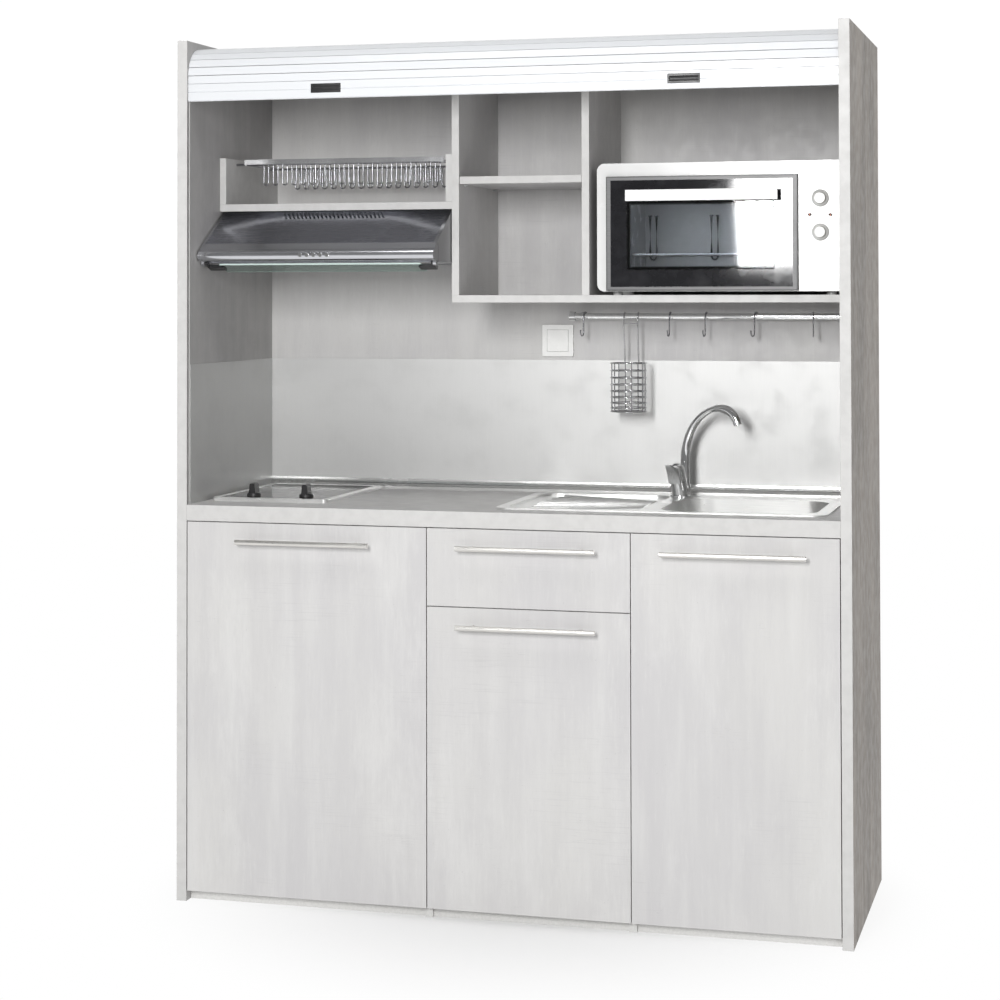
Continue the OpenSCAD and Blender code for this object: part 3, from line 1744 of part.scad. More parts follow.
function cup_x(limits, side) =
  side < 0 ? limits[0] + cup_inset : limits[1] - cup_inset;

module door_left()
  color("lightgray")
    in_place() cupboard_door(door_left_x, front_top, -1);

module door_middle()
  color("lightgray")
    in_place() cupboard_door(door_middle_x, middle_door_top, -1);

module door_right()
  color("lightgray")
    in_place() cupboard_door(door_right_x, front_top, 1);

// A round bar on two posts
module bar_handle(limits, z) {
  cx = (limits[0] + limits[1]) / 2;
  y = -handle_out + handle_dia / 2;
  bar_x(cx - handle_l / 2, cx + handle_l / 2, y, z, handle_dia / 2);
  for (side = [-1, 1])
    bar_y(y, 0, cx + side * (handle_l / 2 - handle_post_inset), z,
       handle_post_r);
}

// Hinge cup in the door, with the arm that meets the mounting plate; face
// is the inner face of the board that carries the plate
module hinge_cup(limits, face, z, side) {
  x = cup_x(limits, side);
  bar_y(door_t - cup_depth, door_t + 1.5, x, z, cup_r);
  x_in = face - side * hinge_clear;
  x_out = x - side * 4;
  board(min(x_in, x_out), max(x_in, x_out), door_t,
     door_t + hinge_arm_y, z - hinge_w / 2 + 3, z + hinge_w / 2 - 3);
}

module door_fittings(limits, face, top, side)
  color("silver")
    in_place() {
      bar_handle(limits, top - handle_drop);
      for (z = [door_bottom + hinge_inset, top - hinge_inset])
        hinge_cup(limits, face, z, side);
    }

module left_door_fittings()
  door_fittings(door_left_x, inner_x0, front_top, -1);
module middle_door_fittings()
  door_fittings(door_middle_x, divider_1_x1, middle_door_top, -1);
module right_door_fittings()
  door_fittings(door_right_x, inner_x1, front_top, 1);

box_x0 = divider_1_x1 + runner_w + seat_gap;
box_x1 = divider_2_x0 - runner_w - seat_gap;
box_y1 = door_t + drawer_box_d;

module drawer()
  color("lightgray")
    in_place() {
      board(door_middle_x[0], door_middle_x[1], 0, door_t,
         drawer_z0, front_top);
      difference() {
        board(box_x0, box_x1, door_t, box_y1,
           box_z, box_z + box_h);
        board(box_x0 + box_board, box_x1 - box_board,
           door_t + box_board, box_y1 - box_board,
           box_z + box_floor_t, box_z + box_h + 1);
      }
    }

module drawer_handle()
  color("silver")
    in_place() bar_handle(door_middle_x, front_top - handle_drop);

// Hinge plates, drawer runners and shelf pins
module cabinet_fittings()
  color("silver")
    in_place() {
      for (z = [door_bottom + hinge_inset, front_top - hinge_inset]) {
        hinge_plate(inner_x0, z, 1);
        hinge_plate(inner_x1, z, -1);
      }
      for (z = [door_bottom + hinge_inset,
           middle_door_top - hinge_inset])
        hinge_plate(divider_1_x1, z, 1);
      runner(divider_1_x1, 1);
      runner(divider_2_x0, -1);
      shelf_pins(inner_x0, left_shelf_z, 1);
      shelf_pins(divider_1_x0, left_shelf_z, -1);
      shelf_pins(divider_1_x1, middle_shelf_z, 1);
      shelf_pins(divider_2_x0, middle_shelf_z, -1);
      shelving_pins(upright_1_x1, 1);
      shelving_pins(upright_2_x0, -1);
    }

module hinge_plate(x, z, dir) {
  x1 = x + dir * hinge_plate_t;
  y0 = door_t + hinge_arm_y + seat_gap;
  board(min(x, x1), max(x, x1), y0, y0 + hinge_plate_l,
     z - hinge_w / 2, z + hinge_w / 2);
}

module runner(x, dir) {
  x1 = x + dir * runner_w;
  t = 1.5;
  xa = x + dir * t;
  board(min(x, xa), max(x, xa), carcass_y + 2, carcass_y + drawer_box_d,
     runner_z, runner_z + runner_h);
  for (z = [runner_z, runner_z + runner_h - t])
    board(min(x, x1), max(x, x1), carcass_y + 2,
       carcass_y + drawer_box_d, z, z + t);
}

module one_pin(x, y, z, dir)
  bar_x(dir > 0 ? x - pin_depth + 1 : x - (pin_l - pin_depth + 1),
     dir > 0 ? x + (pin_l - pin_depth + 1) : x + pin_depth - 1,
     y, z - pin_r, pin_r);

module shelf_pins(x, z, dir)
  for (y = [shelf_front + pin_inset, rear_y0 - shelf_back - pin_inset])
    one_pin(x, y, z, dir);

module shelving_pins(x, dir)
  for (y = [shelving_setback + pin_inset, niche_d - pin_inset])
    one_pin(x, y, short_shelf_z - board_t, dir);

side_panel_left();
side_panel_right();
base_boards();
cupboard_shelves();
rear_panel();
back_wall_panel();
ceiling_board();
worktop();
splash_sheets();
worktop_cove_strip();
shelving_uprights();
long_shelf();
short_shelf();
rack_housing();
plate_rack();
hood_body();
hood_trim();
hood_filter();
hood_visor_glass();
hood_visor_arms();
hood_button(1);  // hood_button_1
hood_button(2);  // hood_button_2
hood_button(3);  // hood_button_3
hood_button(4);  // hood_button_4
hood_button(5);  // hood_button_5
hob_body();
hob_top();
hob_knob(-1);  // hob_knob_left
hob_knob(1);  // hob_knob_right
sink();
sink_waste();
sink_trap();
tap_body();
tap_spout();
tap_cap();
tap_lever();
utensil_rail();
s_hooks();
cutlery_basket();
switch_frame();
switch_rocker();
oven_shell();
oven_rack();
oven_door();
oven_door_glass();
oven_knob(oven_knob_z1);  // oven_knob_upper
oven_knob(oven_knob_z1 - oven_knob_step);  // oven_knob_lower
cabinet_fittings();
shutter_slats_stored();
shutter_rail();
shutter_curtain();
shutter_grips();
door_left();
door_middle();
door_right();
left_door_fittings();
middle_door_fittings();
right_door_fittings();
drawer();
drawer_handle();
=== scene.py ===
import math

import bmesh
import bpy
from mathutils import Matrix, Vector


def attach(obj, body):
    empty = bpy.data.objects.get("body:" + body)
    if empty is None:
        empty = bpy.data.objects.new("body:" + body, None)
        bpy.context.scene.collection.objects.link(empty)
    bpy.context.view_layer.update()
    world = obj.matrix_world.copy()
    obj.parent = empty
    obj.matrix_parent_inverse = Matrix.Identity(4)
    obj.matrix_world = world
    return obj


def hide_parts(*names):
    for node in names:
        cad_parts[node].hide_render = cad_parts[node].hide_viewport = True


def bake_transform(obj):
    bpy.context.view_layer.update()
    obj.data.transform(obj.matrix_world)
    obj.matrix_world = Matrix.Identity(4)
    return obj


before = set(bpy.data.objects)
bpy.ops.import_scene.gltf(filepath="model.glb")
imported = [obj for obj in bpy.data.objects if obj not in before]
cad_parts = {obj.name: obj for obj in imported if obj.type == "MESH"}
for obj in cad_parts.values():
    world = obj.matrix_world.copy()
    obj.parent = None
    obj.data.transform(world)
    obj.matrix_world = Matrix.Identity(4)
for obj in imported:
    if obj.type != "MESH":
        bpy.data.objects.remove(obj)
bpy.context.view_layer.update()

HALF, FRONT = 0.805, 0.2925


def at(x, y, z):
    """A point of the cabinet, in millimetres from its left outer face, its
    door fronts and the floor, in the frame's metres."""
    return Vector((x / 1000 - HALF, y / 1000 - FRONT, z / 1000))


# Camera, first of all

camera_data = bpy.data.cameras.new("camera")
camera_data.sensor_width = 36
camera_data.lens = 80.16
camera_data.shift_y = -0.2514
camera_data.clip_start = 0.1
camera_data.clip_end = 60
camera = bpy.data.objects.new("camera", camera_data)
bpy.context.scene.collection.objects.link(camera)
yaw, pitch, roll = math.radians(15.282), math.radians(1.124), math.radians(-0.1)
camera.matrix_world = (
    Matrix.Translation((1.3556, -5.2543, 1.4528))
    @ Matrix.Rotation(yaw, 4, "Z")
    @ Matrix.Rotation(math.pi / 2 + pitch, 4, "X")
    @ Matrix.Rotation(roll, 4, "Z")
)
bpy.context.scene.camera = camera
bpy.context.scene.view_settings.view_transform = "Standard"


# Materials

class Finish:
    """A procedural material, and the few calls that build it."""

    def __init__(self, name, **sockets):
        self.material = bpy.data.materials.new(name)
        self.material.use_nodes = True
        self.tree = self.material.node_tree
        self.shader = self.tree.nodes["Principled BSDF"]
        self.place = self.tree.nodes.new("ShaderNodeTexCoord")
        for key, value in sockets.items():
            self.shader.inputs[key.replace("_", " ")].default_value = value

    def node(self, kind, settings=(), **sockets):
        n = self.tree.nodes.new("ShaderNode" + kind)
        for key, value in dict(settings).items():
            setattr(n, key, value)
        for key, value in sockets.items():
            self.feed(n.inputs[key.replace("_", " ")], value)
        return n

    def feed(self, socket, value):
        if isinstance(value, bpy.types.NodeSocket):
            self.tree.links.new(value, socket)
        else:
            socket.default_value = value

    def coords(self, scale=(1, 1, 1), shift=(0, 0, 0)):
        return self.node("Mapping", Vector=self.place.outputs["Object"],
                         Scale=scale, Location=shift).outputs[0]

    def noise(self, where, scale, detail=4, rough=0.5):
        return self.node("TexNoise", Vector=where, Scale=scale, Detail=detail,
                         Roughness=rough).outputs[0]

    def cells(self, where, scale):
        return self.node("TexVoronoi", Vector=where, Scale=scale).outputs[0]

    def math(self, op, a, b=0.0, clamp=False):
        n = self.tree.nodes.new("ShaderNodeMath")
        n.operation = op
        n.use_clamp = clamp
        self.feed(n.inputs[0], a)
        self.feed(n.inputs[1], b)
        return n.outputs[0]

    def curve(self, value, low, high, to_low=0.0, to_high=1.0, smooth=True):
        """value from low..high to to_low..to_high, held at its ends."""
        n = self.tree.nodes.new("ShaderNodeMapRange")
        n.interpolation_type = "SMOOTHSTEP" if smooth else "LINEAR"
        self.feed(n.inputs["Value"], value)
        for key, v in (("From Min", low), ("From Max", high),
                       ("To Min", to_low), ("To Max", to_high)):
            n.inputs[key].default_value = v
        return n.outputs[0]

    def mix(self, share, a, b):
        n = self.tree.nodes.new("ShaderNodeMix")
        n.data_type = "RGBA"
        self.feed(n.inputs["Factor"], share)
        for key, v in (("A", a), ("B", b)):
            if isinstance(v, tuple):
                v = (*v, 1)
            self.feed([s for s in n.inputs if s.name == key
                       and s.type == "RGBA"][0], v)
        return [s for s in n.outputs if s.type == "RGBA"][0]

    def bump(self, height, distance, strength):
        return self.node("Bump", Height=height, Strength=strength,
                         Distance=distance).outputs[0]

    def apart(self):
        """The three coordinates of a place, in the frame's metres."""
        return self.node("SeparateXYZ",
                         Vector=self.place.outputs["Object"]).outputs

    def far_from(self, point):
        n = self.node("VectorMath", {"operation": "DISTANCE"},
                      Vector=self.place.outputs["Object"])
        n.inputs[1].default_value = point
        return n.outputs["Value"]

    def facing(self, axis):
        """1 where the surface faces along the object's own axis."""
        n = self.node("SeparateXYZ", Vector=self.place.outputs["Normal"])
        size = self.math("ABSOLUTE", n.outputs["XYZ".index(axis)])
        return self.curve(size, 0.80, 0.92)

    def side(self, axis, sign):
        """1 where the surface faces towards that end of an axis."""
        n = self.node("SeparateXYZ", Vector=self.place.outputs["Normal"])
        size = self.math("MULTIPLY", n.outputs["XYZ".index(axis)], sign)
        return self.curve(size, 0.5, 0.8)

    def out(self, colour=None, rough=None, normal=None):
        for key, value in (("Base Color", colour), ("Roughness", rough),
                           ("Normal", normal)):
            if value is not None:
                self.feed(self.shader.inputs[key], value)
        return self.material


def dim(tone, share):
    return tuple(share * c for c in tone)


def laminate(name, face, shift, pale=(0.64, 0.635, 0.625),
             deep=(0.545, 0.537, 0.54), warm=(0.59, 0.583, 0.573),
             edge=(0.585, 0.58, 0.57), streaks=0.0):
    """Cast-stone decor with a plain edge band. face is the axis across the
    board, and shift moves the decor so that no two boards share it."""
    f = Finish(name, Specular_IOR_Level=0.42)
    here = f.coords(shift=shift)
    tall = f.coords(scale=(1, 1, 0.5), shift=shift)
    # broad clouds, bent by a finer noise
    warp = f.node("VectorMath", {"operation": "MULTIPLY_ADD"})
    f.feed(warp.inputs[0], f.node("TexNoise", Vector=here, Scale=4.0,
                                  Detail=5).outputs["Color"])
    warp.inputs[1].default_value = (0.12, 0.12, 0.07)
    f.feed(warp.inputs[2], tall)
    clouds = f.noise(warp.outputs[0], 3.0, 6, 0.55)
    colour = f.mix(f.curve(clouds, 0.34, 0.66), deep, warm)
    # upright bands, and the short strokes of the float within them
    bands = f.noise(f.coords(scale=(11, 11, 0.9), shift=shift), 1.7, 6, 0.62)
    colour = f.mix(f.curve(bands, 0.46, 0.74, 0, 0.55), colour, pale)
    colour = f.mix(f.curve(bands, 0.50, 0.30, 0, 0.34 + streaks), colour,
                   dim(deep, 0.93))
    strokes = f.noise(f.coords(scale=(90, 90, 8), shift=shift), 2.0, 5, 0.68)
    rubs = f.noise(f.coords(scale=(260, 260, 30), shift=shift), 1.6, 4, 0.7)
    # chalky patches with a ragged edge
    chalk = f.noise(warp.outputs[0], 7.5, 10, 0.70)
    ragged = f.math("ADD", chalk, f.math("MULTIPLY", f.math(
        "SUBTRACT", strokes, 0.5), 0.28))
    colour = f.mix(f.curve(ragged, 0.48, 0.74, 0, 0.42), colour,
                   dim(pale, 1.04))
    colour = f.mix(f.curve(strokes, 0.52, 0.76, 0, 0.35), colour, pale)
    colour = f.mix(f.curve(rubs, 0.48, 0.26, 0, 0.26), colour,
                   dim(deep, 0.88))
    # level hatching in some places
    hatch = f.noise(f.coords(scale=(5, 5, 150), shift=shift), 2.2, 4, 0.62)
    places = f.curve(f.noise(here, 3.6, 3), 0.50, 0.62)
    hatch = f.math("MULTIPLY", f.curve(hatch, 0.54, 0.68), places)
    colour = f.mix(f.math("MULTIPLY", hatch, 0.30), colour,
                   dim(deep, 0.84))
    # scored hair lines, mostly level
    lines = f.noise(f.coords(scale=(1, 1, 22), shift=shift), 5.0, 3, 0.55)
    score = f.math("SUBTRACT", 1.0, f.curve(
        f.math("ABSOLUTE", f.math("SUBTRACT", lines, 0.5)), 0.0, 0.004))
    score = f.math("MULTIPLY", score, f.curve(
        f.noise(here, 7.0, 3), 0.60, 0.68))
    colour = f.mix(f.math("MULTIPLY", score, 0.40), colour,
                   dim(deep, 0.55))
    # pores and fleck
    grit = f.noise(here, 520, 3, 0.7)
    colour = f.mix(f.curve(grit, 0.56, 0.80, 0, 0.22), colour,
                   dim(deep, 0.78))
    pores = f.cells(here, 70)
    pit = f.math("MULTIPLY", f.curve(pores, 0.05, 0.10, 1, 0),
                 f.curve(f.noise(here, 17, 2), 0.58, 0.64))
    colour = f.mix(f.math("MULTIPLY", pit, 0.40), colour,
                   dim(deep, 0.6))
    band = f.math("SUBTRACT", 1.0, f.facing(face))
    soft = f.mix(f.curve(f.noise(here, 38, 6, 0.6), 0.35, 0.7), edge,
                 dim(edge, 0.93))
    colour = f.mix(band, colour, soft)
    rough = f.curve(f.noise(here, 30, 5, 0.6), 0.3, 0.7, 0.42, 0.60)
    height = f.math("ADD", f.math("MULTIPLY", strokes, 0.6),
                    f.math("MULTIPLY", grit, 0.5))
    height = f.math("SUBTRACT", height, f.math("MULTIPLY", score, 0.8))
    height = f.math("SUBTRACT", height, f.math("MULTIPLY", pit, 0.6))
    return f.out(colour, rough, f.bump(height, 0.0002, 0.35))


def board(name, tone):
    """Plain melamine board of the hidden insides."""
    f = Finish(name, Specular_IOR_Level=0.4)
    here = f.coords()
    grain = f.noise(here, 240, 4, 0.6)
    colour = f.mix(f.curve(grain, 0.35, 0.7), tone,
                   dim(tone, 0.9))
    colour = f.mix(f.curve(f.noise(here, 6, 4), 0.4, 0.7, 0, 0.3), colour,
                   dim(tone, 0.94))
    return f.out(colour, f.curve(f.noise(here, 55, 3), 0.3, 0.7, 0.45, 0.6),
                 f.bump(grain, 0.0001, 0.4))


def hardboard():
    """The raw back, with its fibres and the print of the press screen."""
    f = Finish("raw_hardboard", Specular_IOR_Level=0.3)
    here = f.coords()
    fibres = f.noise(f.coords(scale=(3, 1, 1)), 160, 6, 0.7)
    colour = f.mix(f.curve(fibres, 0.35, 0.68), (0.34, 0.235, 0.15),
                   (0.48, 0.36, 0.245))
    colour = f.mix(f.curve(f.noise(here, 7, 4), 0.45, 0.7, 0, 0.5), colour,
                   (0.40, 0.29, 0.19))
    net = f.cells(here, 520)
    height = f.math("ADD", fibres, f.math("MULTIPLY", net, 0.7))
    return f.out(colour, f.curve(fibres, 0.3, 0.7, 0.62, 0.82),
                 f.bump(height, 0.0003, 0.6))


def metal(name, tone, rough, brush=None, depth=0.00003, marks=0.04,
          aniso=0.0, cheek_painted_tone=None, front=None, even=0.88):
    """Metal. brush stretches its fine lines: small along the brushing.
    cheeks is a tone painted on the faces that look along x: painted light on
    the sides of the hood and painted shade on the ends of its bar. front is a
    depth y in millimetres and a lighter tone for all that lies before it:
    painted light on the lit front of the same wire. even is near 1 where the
    lines hardly show."""
    f = Finish(name, Metallic=1.0, Anisotropic=aniso)
    here = f.coords()
    if brush:
        lines = f.noise(f.coords(scale=brush), 1.0, 4, 0.65)
    else:
        lines = f.noise(here, 300, 3, 0.6)
    stains = f.noise(here, 11, 5, 0.6)
    colour = f.mix(f.curve(lines, 0.3, 0.7), tone,
                   dim(tone, even))
    colour = f.mix(f.curve(stains, 0.45, 0.72, 0, 0.35), colour,
                   dim(tone, 0.93))
    span = 1 - even
    spread = f.math("ADD", f.curve(lines, 0.3, 0.7, rough * (1 - span),
                                   rough * (1 + 1.6 * span)),
                    f.curve(stains, 0.45, 0.7, 0, marks))
    # a lighter tone before the depth y: painted light on the lit front
    if front:
        edge = at(0, front[0], 0).y
        colour = f.mix(f.curve(f.apart()[1], edge, edge + 0.0005, 1, 0),
                       colour, front[1])
    # a tone on the faces along x: painted light and shade on the sides
    if cheek_painted_tone:
        colour = f.mix(f.facing("X"), colour, cheek_painted_tone)
        spread = f.math("ADD", spread, f.math(
            "MULTIPLY", f.facing("X"), 0.4))
    return f.out(colour, spread, f.bump(lines, depth, 0.5))


def plastic(name, tone, rough, skin=900, depth=0.00004, clear=0.0,
            mottle=0.06):
    """Moulded plastic or enamel with a fine skin and a little dust. mottle
    is how far its tone varies."""
    f = Finish(name, Coat_Weight=clear, Coat_Roughness=0.12,
               Specular_IOR_Level=0.45)
    here = f.coords()
    pores = f.noise(here, skin, 3, 0.6)
    dust = f.noise(here, 25, 5, 0.6)
    other = tuple(min(1.0, c * (1 - mottle) + 0.2 * mottle)
                  for c in tone)
    colour = f.mix(f.curve(dust, 0.4, 0.7), tone, other)
    return f.out(colour, f.curve(dust, 0.35, 0.7, rough * 0.85, rough * 1.25),
                 f.bump(pores, depth, 0.35))


def glass(name, tone, rough=0.03, rim=None):
    """Glass. rim is a paler tone on the faces that look to the front, which are
    also less clear and rougher: a painted highlight of the lit edge.
    """
    f = Finish(name, Transmission_Weight=1.0, IOR=1.45)
    here = f.coords()
    smear = f.noise(here, 14, 5, 0.6)
    colour = f.mix(f.curve(smear, 0.4, 0.75), tone,
                   dim(tone, 0.96))
    spread = f.curve(smear, 0.4, 0.75, rough, rough + 0.05)
    if rim:
        # a paler tone on the faces that look to the front: painted highlight of
        # the glass's lit edge
        lit_edge = f.side("Y", -1)
        colour = f.mix(lit_edge, colour, rim)
        spread = f.math("ADD", spread, f.math("MULTIPLY", lit_edge, 0.35))
        f.feed(f.shader.inputs["Transmission Weight"],
               f.math("SUBTRACT", 1.0, f.math("MULTIPLY", lit_edge, 0.75)))
    return f.out(colour, spread, f.bump(smear, 0.00002, 0.2))


def between(f, value, low, high):
    """1 between low and high."""
    soft = 0.0004
    return f.math("MULTIPLY", f.curve(value, low - soft, low + soft),
                  f.curve(value, high - soft, high + soft, 1, 0))


def upright_field(f, xyz, low, high, grow=0.0):
    """1 in an upright rectangle from the corner low to the corner high."""
    return f.math("MULTIPLY",
                  between(f, xyz[0], low.x - grow, high.x + grow),
                  between(f, xyz[2], low.z - grow, high.z + grow))


# The oven, in cabinet millimetres: its face, door, window and controls
OVEN_Y = 206
DOOR_X, DOOR_Z = (1012, 1466), (1456, 1726)
WINDOW_X, WINDOW_Z = (1070, 1404), (1513, 1659)
HANDLE_BACK, HANDLE_FRONT = -0.0990, -0.1000  # frame metres
LAMPS = ((1493, 1632), (1541, 1631))
KNOB_X, KNOB_ZS = 1518, (1670, 1591)


def oven_front():
    """The oven door: black glass in a satin frame, with a white handle."""
    f = Finish("oven_front", Specular_IOR_Level=0.5)
    here = f.coords()
    xyz = f.apart()
    pane = upright_field(f, xyz, at(DOOR_X[0] + 11, 0, DOOR_Z[0] + 9),
                         at(DOOR_X[1] - 11, 0, DOOR_Z[1] - 9))
    handle = f.curve(xyz[1], HANDLE_FRONT, HANDLE_BACK, 1, 0)
    lines = f.noise(f.coords(scale=(9, 700, 700)), 1.0, 4, 0.6)
    dust = f.noise(here, 22, 6, 0.62)
    frame_tone = f.mix(f.curve(lines, 0.3, 0.7), (0.085, 0.085, 0.088),
                       (0.12, 0.12, 0.123))
    black = f.mix(f.curve(dust, 0.4, 0.75), (0.012, 0.012, 0.014),
                  (0.020, 0.020, 0.023))
    white = f.mix(f.curve(dust, 0.4, 0.7), (0.77, 0.77, 0.765),
                  (0.74, 0.74, 0.735))
    # the pale sealing line round the window
    a = at(WINDOW_X[0], 0, WINDOW_Z[0])
    b = at(WINDOW_X[1], 0, WINDOW_Z[1])
    inner = upright_field(f, xyz, a, b)
    outer = upright_field(f, xyz, a, b, 0.003)
    # all but the black seal at the door's own edge
    bar = upright_field(f, xyz, at(DOOR_X[0] + 2.5, 0, DOOR_Z[0] + 2.5),
                        at(DOOR_X[1] - 2.5, 0, DOOR_Z[1] - 2.5))
    colour = f.mix(bar, (0.012, 0.012, 0.012), frame_tone)
    colour = f.mix(pane, colour, black)
    colour = f.mix(f.math("SUBTRACT", outer, inner, clamp=True), colour,
                   (0.34, 0.34, 0.35))
    colour = f.mix(handle, colour, white)
    rough = f.math("ADD", f.curve(pane, 0, 1, 0.34, 0.05, smooth=False),
                   f.math("MULTIPLY", handle, 0.25))
    rough = f.math("ADD", rough, f.curve(dust, 0.45, 0.75, 0, 0.03))
    return f.out(colour, rough, f.bump(lines, 0.00001, 0.3))


HOB_Z = 953


def hob_glass():
    """Black glass with the printed rings of two plates and red marks."""
    f = Finish("hob_glass", Coat_Weight=0.2, Coat_Roughness=0.03)
    here = f.coords()
    dust = f.noise(here, 26, 6, 0.6)
    colour = f.mix(f.curve(dust, 0.4, 0.75), (0.020, 0.019, 0.020),
                   (0.030, 0.029, 0.030))
    for y, inside, outside in ((300, 75, 80), (455, 62, 67)):
        ring = between(f, f.far_from(at(192, y, HOB_Z)), inside / 1000,
                       outside / 1000)
        colour = f.mix(f.math("MULTIPLY", ring, 0.55), colour,
                       (0.30, 0.29, 0.29))
    for x in (148, 285):
        mark = f.curve(f.far_from(at(x, 182, HOB_Z)), 0.004, 0.005, 1, 0)
        colour = f.mix(mark, colour, (0.55, 0.03, 0.03))
    fine = f.noise(here, 700, 3, 0.6)
    return f.out(colour, f.curve(dust, 0.4, 0.75, 0.12, 0.22),
                 f.bump(fine, 0.00001, 0.3))


made = {
    "door_a": laminate("stone_door_left", "Y", (0.0, 0.0, 0.0)),
    "door_b": laminate("stone_door_middle", "Y", (3.1, 1.2, 2.4)),
    "door_c": laminate("stone_door_right", "Y", (7.7, 2.3, 5.2)),
    "front_d": laminate("stone_drawer_front", "Y", (3.1, 1.2, 2.4)),
    "wall": laminate("stone_wall", "Y", (11.3, 0.6, 8.1)),
    "upright": laminate("stone_upright", "X", (5.1, 4.4, 1.7)),
    # the side panels are the same decor as the fronts in darker tones, the
    # right one darker and browner still: painted shade on their sides
    "left": laminate("stone_left_panel_painted_shade", "X", (9.2, 3.3, 4.6),
                     pale=(0.46, 0.452, 0.445), deep=(0.36, 0.352, 0.352),
                     warm=(0.41, 0.404, 0.396), streaks=0.2),
    "right": laminate("stone_right_panel_painted_shade", "X", (1.9, 8.8, 6.3),
                      pale=(0.37, 0.325, 0.28), deep=(0.19, 0.168, 0.147),
                      warm=(0.275, 0.243, 0.213), streaks=0.5),
    "level": laminate("stone_level", "Z", (6.6, 5.5, 9.9)),
    "board": board("melamine_board", (0.66, 0.655, 0.64)),
    "hardboard": hardboard(),
    "steel": metal("brushed_steel", (0.96, 0.96, 0.95), 0.30,
                   (14, 900, 900), aniso=0.4),
    "splash": metal("brushed_splash", (0.55, 0.55, 0.545), 0.52,
                    (900, 900, 9), depth=0.000003, even=0.98),
    # the hood's faces along x take a paler tone and its bar's ends a darker
    # one: painted light and shade on their sides
    "hood": metal("brushed_hood", (0.45, 0.46, 0.51), 0.24,
                  (10, 1200, 1200), cheek_painted_tone=(0.80, 0.80, 0.79)),
    "hood_bar": metal("polished_hood_bar", (0.66, 0.67, 0.70), 0.17,
                      (10, 1200, 1200), cheek_painted_tone=(0.42, 0.42, 0.43)),
    # the rack's front bar, before y 273.5 mm, is a lighter tone than the same
    # wire behind it: painted light on the front bar, painted shade on the
    # darker wire behind
    "wire": metal("wire_painted_lit_front", (0.33, 0.33, 0.35), 0.16, marks=0.05,
                  depth=0.00001, front=(273.5, (0.85, 0.855, 0.87))),
    "cage": metal("basket_wire", (0.56, 0.56, 0.57), 0.16, marks=0.05,
                  depth=0.00001),
    "aluminium": metal("satin_aluminium", (0.86, 0.86, 0.86), 0.36,
                       (8, 700, 700)),
    "cove": metal("bright_cove", (0.93, 0.93, 0.92), 0.22, (5, 600, 600)),
    "chrome": metal("polished_chrome", (0.87, 0.875, 0.88), 0.045,
                    marks=0.03, depth=0.000003),
    "nickel": metal("satin_nickel", (0.76, 0.745, 0.715), 0.30,
                    (12, 1100, 1100)),
    "zinc": metal("zinc_plate", (0.60, 0.61, 0.61), 0.38, marks=0.12),
    # the visor glass's front edge takes a paler tone: painted highlight
    "clear": glass("clear_glass", (0.72, 0.88, 0.82),
                   rim=(0.80, 0.95, 0.90)),
    "smoked": glass("smoked_glass", (0.86, 0.90, 0.95)),
    "ceramic": hob_glass(),
    "lens": glass("lamp_lens", (0.55, 0.30, 0.24), 0.08),
    # grey tone of the rings round the oven knobs: painted shadow
    "print": plastic("grey_painted_knob_shadow", (0.40, 0.40, 0.39), 0.40),
    "black": plastic("black_plastic", (0.022, 0.022, 0.023), 0.34),
    "white": plastic("white_plastic", (0.88, 0.88, 0.865), 0.28),
    "enamel": plastic("white_enamel", (0.69, 0.69, 0.685), 0.24, skin=500,
                      clear=0.3, mottle=0.02),
    "knob": plastic("white_knob", (0.60, 0.60, 0.585), 0.28, mottle=0.03),
    "oven_front": oven_front(),
    "slat": plastic("slat_plastic", (0.70, 0.715, 0.735), 0.34, skin=700,
                    clear=0.1, mottle=0.012),
}

# node: (material, bevel in millimetres)
looks = {
    "side_panel_left": ("left", 0.8), "side_panel_right": ("right", 0.8),
    "base_boards": ("board", 0.5), "cupboard_shelves": ("board", 0.5),
    "rear_panel": ("hardboard", 0), "back_wall_panel": ("wall", 0.5),
    "ceiling_board": ("level", 0.5), "worktop": ("level", 2.0),
    "splash_sheets": ("splash", 0), "worktop_cove_strip": ("cove", 0),
    "shelving_uprights": ("upright", 0.8), "long_shelf": ("level", 0.8),
    "short_shelf": ("level", 0.8), "rack_housing": ("level", 0.8),
    "plate_rack": ("wire", 0), "hood_body": ("hood", 0.8),
    "hood_trim": ("hood_bar", 0.5), "hood_filter": ("aluminium", 0.2),
    "hood_visor_glass": ("clear", 0.4), "hood_visor_arms": ("black", 0.4),
    "hob_body": ("steel", 0.4), "hob_top": ("ceramic", 0.3),
    "hob_knob_left": ("black", 0.3), "hob_knob_right": ("black", 0.3),
    "sink": ("steel", 0), "sink_waste": ("chrome", 0.2),
    "sink_trap": ("white", 0.3), "tap_body": ("chrome", 0.3),
    "tap_spout": ("chrome", 0), "tap_cap": ("chrome", 0.3),
    "tap_lever": ("chrome", 0.3), "utensil_rail": ("chrome", 0.2),
    "s_hooks": ("wire", 0), "cutlery_basket": ("cage", 0),
    "switch_frame": ("white", 0.5), "switch_rocker": ("white", 0.4),
    "oven_shell": ("enamel", 0.8), "oven_rack": ("chrome", 0),
    "oven_door": ("oven_front", 0.5), "oven_door_glass": ("smoked", 0.2),
    "oven_knob_upper": ("knob", 0.4), "oven_knob_lower": ("knob", 0.4),
    "cabinet_fittings": ("zinc", 0.1),
    "shutter_slats_stored": ("slat", 0), "shutter_rail": ("slat", 0.4),
    "shutter_curtain": ("slat", 0), "shutter_grips": ("black", 0.5),
    "door_left": ("door_a", 0.8), "door_middle": ("door_b", 0.8),
    "door_right": ("door_c", 0.8), "left_door_fittings": ("nickel", 0.3),
    "middle_door_fittings": ("nickel", 0.3),
    "right_door_fittings": ("nickel", 0.3), "drawer": ("front_d", 0.8),
    "drawer_handle": ("nickel", 0.3),
}
for i in range(1, 6):
    looks["hood_button_%d" % i] = ("chrome", 0.2)


